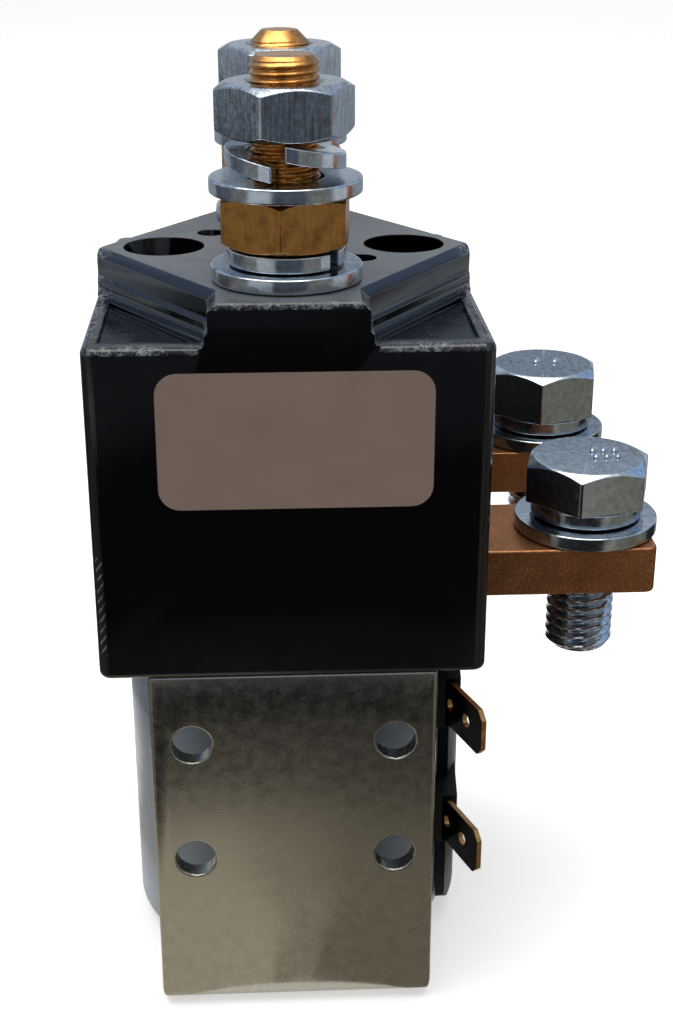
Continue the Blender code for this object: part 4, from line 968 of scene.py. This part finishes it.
# Rings of the room that metal and gloss show: radius, height, radius and height in metres
FLAT = 0.0005
RIM = (0.035, FLAT, 0.088, FLAT)
SHADE = (0.088, FLAT, 0.125, FLAT)
DARK = (0.125, FLAT, 0.45, FLAT)
NEAR = (0.088, FLAT, 0.45, FLAT)
FAR = (0.45, FLAT, 1.2, FLAT)
BROW = (1.2, FLAT, 1.2, 0.25)
WALL = (1.2, 0.25, 1.2, 0.56)
PALE = (1.2, FLAT, 1.2, 0.38)
BACK = (1.2, 0.38, 1.2, 0.56)
SKY = (1.2, 0.56, 1.2, 1.4)
TOP = (1.2, 1.4, 1.2, 2.0)

# Cards in sectors of the rings, each from a start to an end in degrees from the front towards +X
CARDS = (
    ("near_left", "#CEC9BC", (RIM, -120, -6)), ("near_middle", "#ABA69A", (RIM, -6, 5)),
    ("near_right", "#8A857A", (RIM, 5, 120)),
    ("shaded_table", "#4E4C4B", (SHADE, -38, 28)), ("dark_table", "#262528", (DARK, -38, 28)),
    ("grey_table", "#7A776C", (NEAR, -95, -38), (NEAR, 28, 34), (NEAR, 44, 95)),
    ("warm_table", "#95918A", (NEAR, 34, 44), (NEAR, 125, 235)),
    ("black_mat", "#262628", (NEAR, 95, 125)), ("brown_mat", "#4A3326", (NEAR, -125, -95)),
    ("slate_table", "#575D66", (FAR, -125, -85), (FAR, -22, 30), (BROW, -38, 28)),
    ("mild_table", "#7F7E7A", (FAR, -85, -58), (FAR, 30, 70)),
    ("gleam_table", "#CBCFD4", (FAR, -58, -22), (FAR, 70, 100)),
    ("copper_table", "#A86440", (FAR, 100, 112)), ("pale_table", "#939CA6", (FAR, 112, 235)),
    ("front_wall", "#8C96A0", (WALL, -100, 100), (BROW, -100, -38), (BROW, 28, 100)),
    ("back_strip", "#C4CCD4", (PALE, 100, 260)), ("back_wall", "#707D8F", (BACK, 100, 260)),
    ("blue_windows", "#9DB8E2", (SKY, 100, 150), (SKY, -150, -100)),
    ("blue_haze", "#C0CCD8", (SKY, -100, 100), (SKY, 150, 210), (TOP, -180, 180)),
)


class CONTACTOR_OT_stage(bpy.types.Operator):
    """Set the floor, the reflected room, the lamp and the camera"""
    bl_idname = "contactor.stage"
    bl_label = "Studio"

    def execute(self, context):
        stage = context.scene.contactor.stage
        scene = context.scene
        scene.view_settings.view_transform = "Standard"
        world = bpy.data.worlds.new("studio_room")
        scene.world = world
        tree = cleared_tree(world)
        level = add_node(tree, "ShaderNodeMapRange", {0: shown_white(tree), 3: stage.world, 4: 1.0})
        room = add_node(tree, "ShaderNodeBackground", {"Color": WHITE, "Strength": level.outputs[0]})
        add_node(tree, "ShaderNodeOutputWorld", {"Surface": room.outputs[0]})

        mesh = bpy.data.meshes.new("studio_floor")
        reach = 4.0
        corners = [(-reach, -reach, 0.0), (reach, -reach, 0.0), (reach, reach, 0.0), (-reach, reach, 0.0)]
        mesh.from_pydata(corners, [], [(0, 1, 2, 3)])
        # Matt pale floor: it takes a soft shadow and shows no gloss
        mat = bpy.data.materials.new("matt_pale_floor")
        tree = cleared_tree(mat)
        pale = add_node(tree, "ShaderNodeBsdfDiffuse", {"Color": rgba(stage.floor)})
        lift = add_node(tree, "ShaderNodeMapRange", {0: shown_white(tree), 3: 0.0, 4: FLOOR_GLOW})
        glow = add_node(tree, "ShaderNodeEmission", {"Color": WHITE, "Strength": lift.outputs[0]})
        both = add_node(tree, "ShaderNodeAddShader", {0: pale.outputs[0], 1: glow.outputs[0]})
        add_node(tree, "ShaderNodeOutputMaterial", {"Surface": both.outputs[0]})
        mesh.materials.append(mat)
        floor = placed("studio_floor", mesh)
        floor.location.z = CAD_BOX[0][2] - 0.1 * MM

        for name, code, *strips in CARDS:
            quads = []
            for ring, start, end in strips:
                quads += arc_strip(*ring, math.radians(start), math.radians(end))
            reflected_card(name, quads, linear(code))

        lamp_data = bpy.data.lights.new("ceiling_lamp", "AREA")
        lamp_data.shape = "RECTANGLE"
        lamp_data.size = 1.1
        lamp_data.size_y = 0.9
        lamp_data.energy = stage.ceiling
        lamp = placed("ceiling_lamp", lamp_data)
        lamp.location = (-0.15, -0.10, 1.1)
        lamp.rotation_euler = (math.radians(-6), math.radians(-8), 0.0)
        place_camera(scene)
        return {"FINISHED"}


def place_camera(scene):
    """Stand the camera where the photograph was taken from."""
    yaw, pitch, roll = 0.04900066, 0.39270948, -0.00050552
    focal_pixels, tall_pixels = 1615.91378, 1024.0
    ahead = Vector((math.sin(yaw) * math.cos(pitch), math.cos(yaw) * math.cos(pitch), -math.sin(pitch)))
    level = Vector((math.cos(yaw), -math.sin(yaw), 0.0))
    above = level.cross(ahead)
    right = level * math.cos(roll) + above * math.sin(roll)
    up = above * math.cos(roll) - level * math.sin(roll)
    data = bpy.data.cameras.new("photo_camera")
    data.sensor_width = 36.0
    data.lens = focal_pixels / tall_pixels * data.sensor_width
    data.clip_start = 0.01
    camera = placed("photo_camera", data)
    turn = Matrix((right, up, -ahead)).transposed().to_4x4()
    stand = Vector((-3.874788, -238.404901, 169.469264)) * MM
    camera.matrix_world = Matrix.Translation(stand) @ turn
    scene.camera = camera


OPERATORS = (CONTACTOR_OT_frame, CONTACTOR_OT_coil, CONTACTOR_OT_terminals, CONTACTOR_OT_housing,
             CONTACTOR_OT_label, CONTACTOR_OT_studs, CONTACTOR_OT_nuts, CONTACTOR_OT_washers,
             CONTACTOR_OT_busbars, CONTACTOR_OT_bolts, CONTACTOR_OT_mechanism, CONTACTOR_OT_springs,
             CONTACTOR_OT_stage)


class CONTACTOR_PT_sidebar(bpy.types.Panel):
    """Lists the steps and their settings"""
    bl_idname = "CONTACTOR_PT_sidebar"
    bl_label = "Changeover contactor"
    bl_space_type = "VIEW_3D"
    bl_region_type = "UI"
    bl_category = "Contactor"

    def draw(self, context):
        settings = context.scene.contactor
        for label in ("housing", "metal", "coil", "thread", "stage"):
            box = self.layout.box()
            box.label(text=label.capitalize())
            group = getattr(settings, label)
            for prop in group.bl_rna.properties:
                if prop.identifier not in ("rna_type", "name"):
                    box.prop(group, prop.identifier)
        for step in OPERATORS:
            self.layout.operator(step.bl_idname)


CLASSES = (CONTACTOR_PG_housing, CONTACTOR_PG_metal, CONTACTOR_PG_coil, CONTACTOR_PG_thread,
           CONTACTOR_PG_stage, CONTACTOR_PG_settings, *OPERATORS, CONTACTOR_PT_sidebar)


def register():
    for item in CLASSES:
        bpy.utils.register_class(item)
    bpy.types.Scene.contactor = PointerProperty(type=CONTACTOR_PG_settings, name="Contactor",
                                                description="Sizes and colours of the contactor")


def unregister():
    del bpy.types.Scene.contactor
    for item in reversed(CLASSES):
        bpy.utils.unregister_class(item)


def main():
    """Make every piece and the studio."""
    register()
    for step in OPERATORS:
        getattr(bpy.ops.contactor, step.bl_idname.split(".")[1])()


if __name__ == "__main__":
    main()
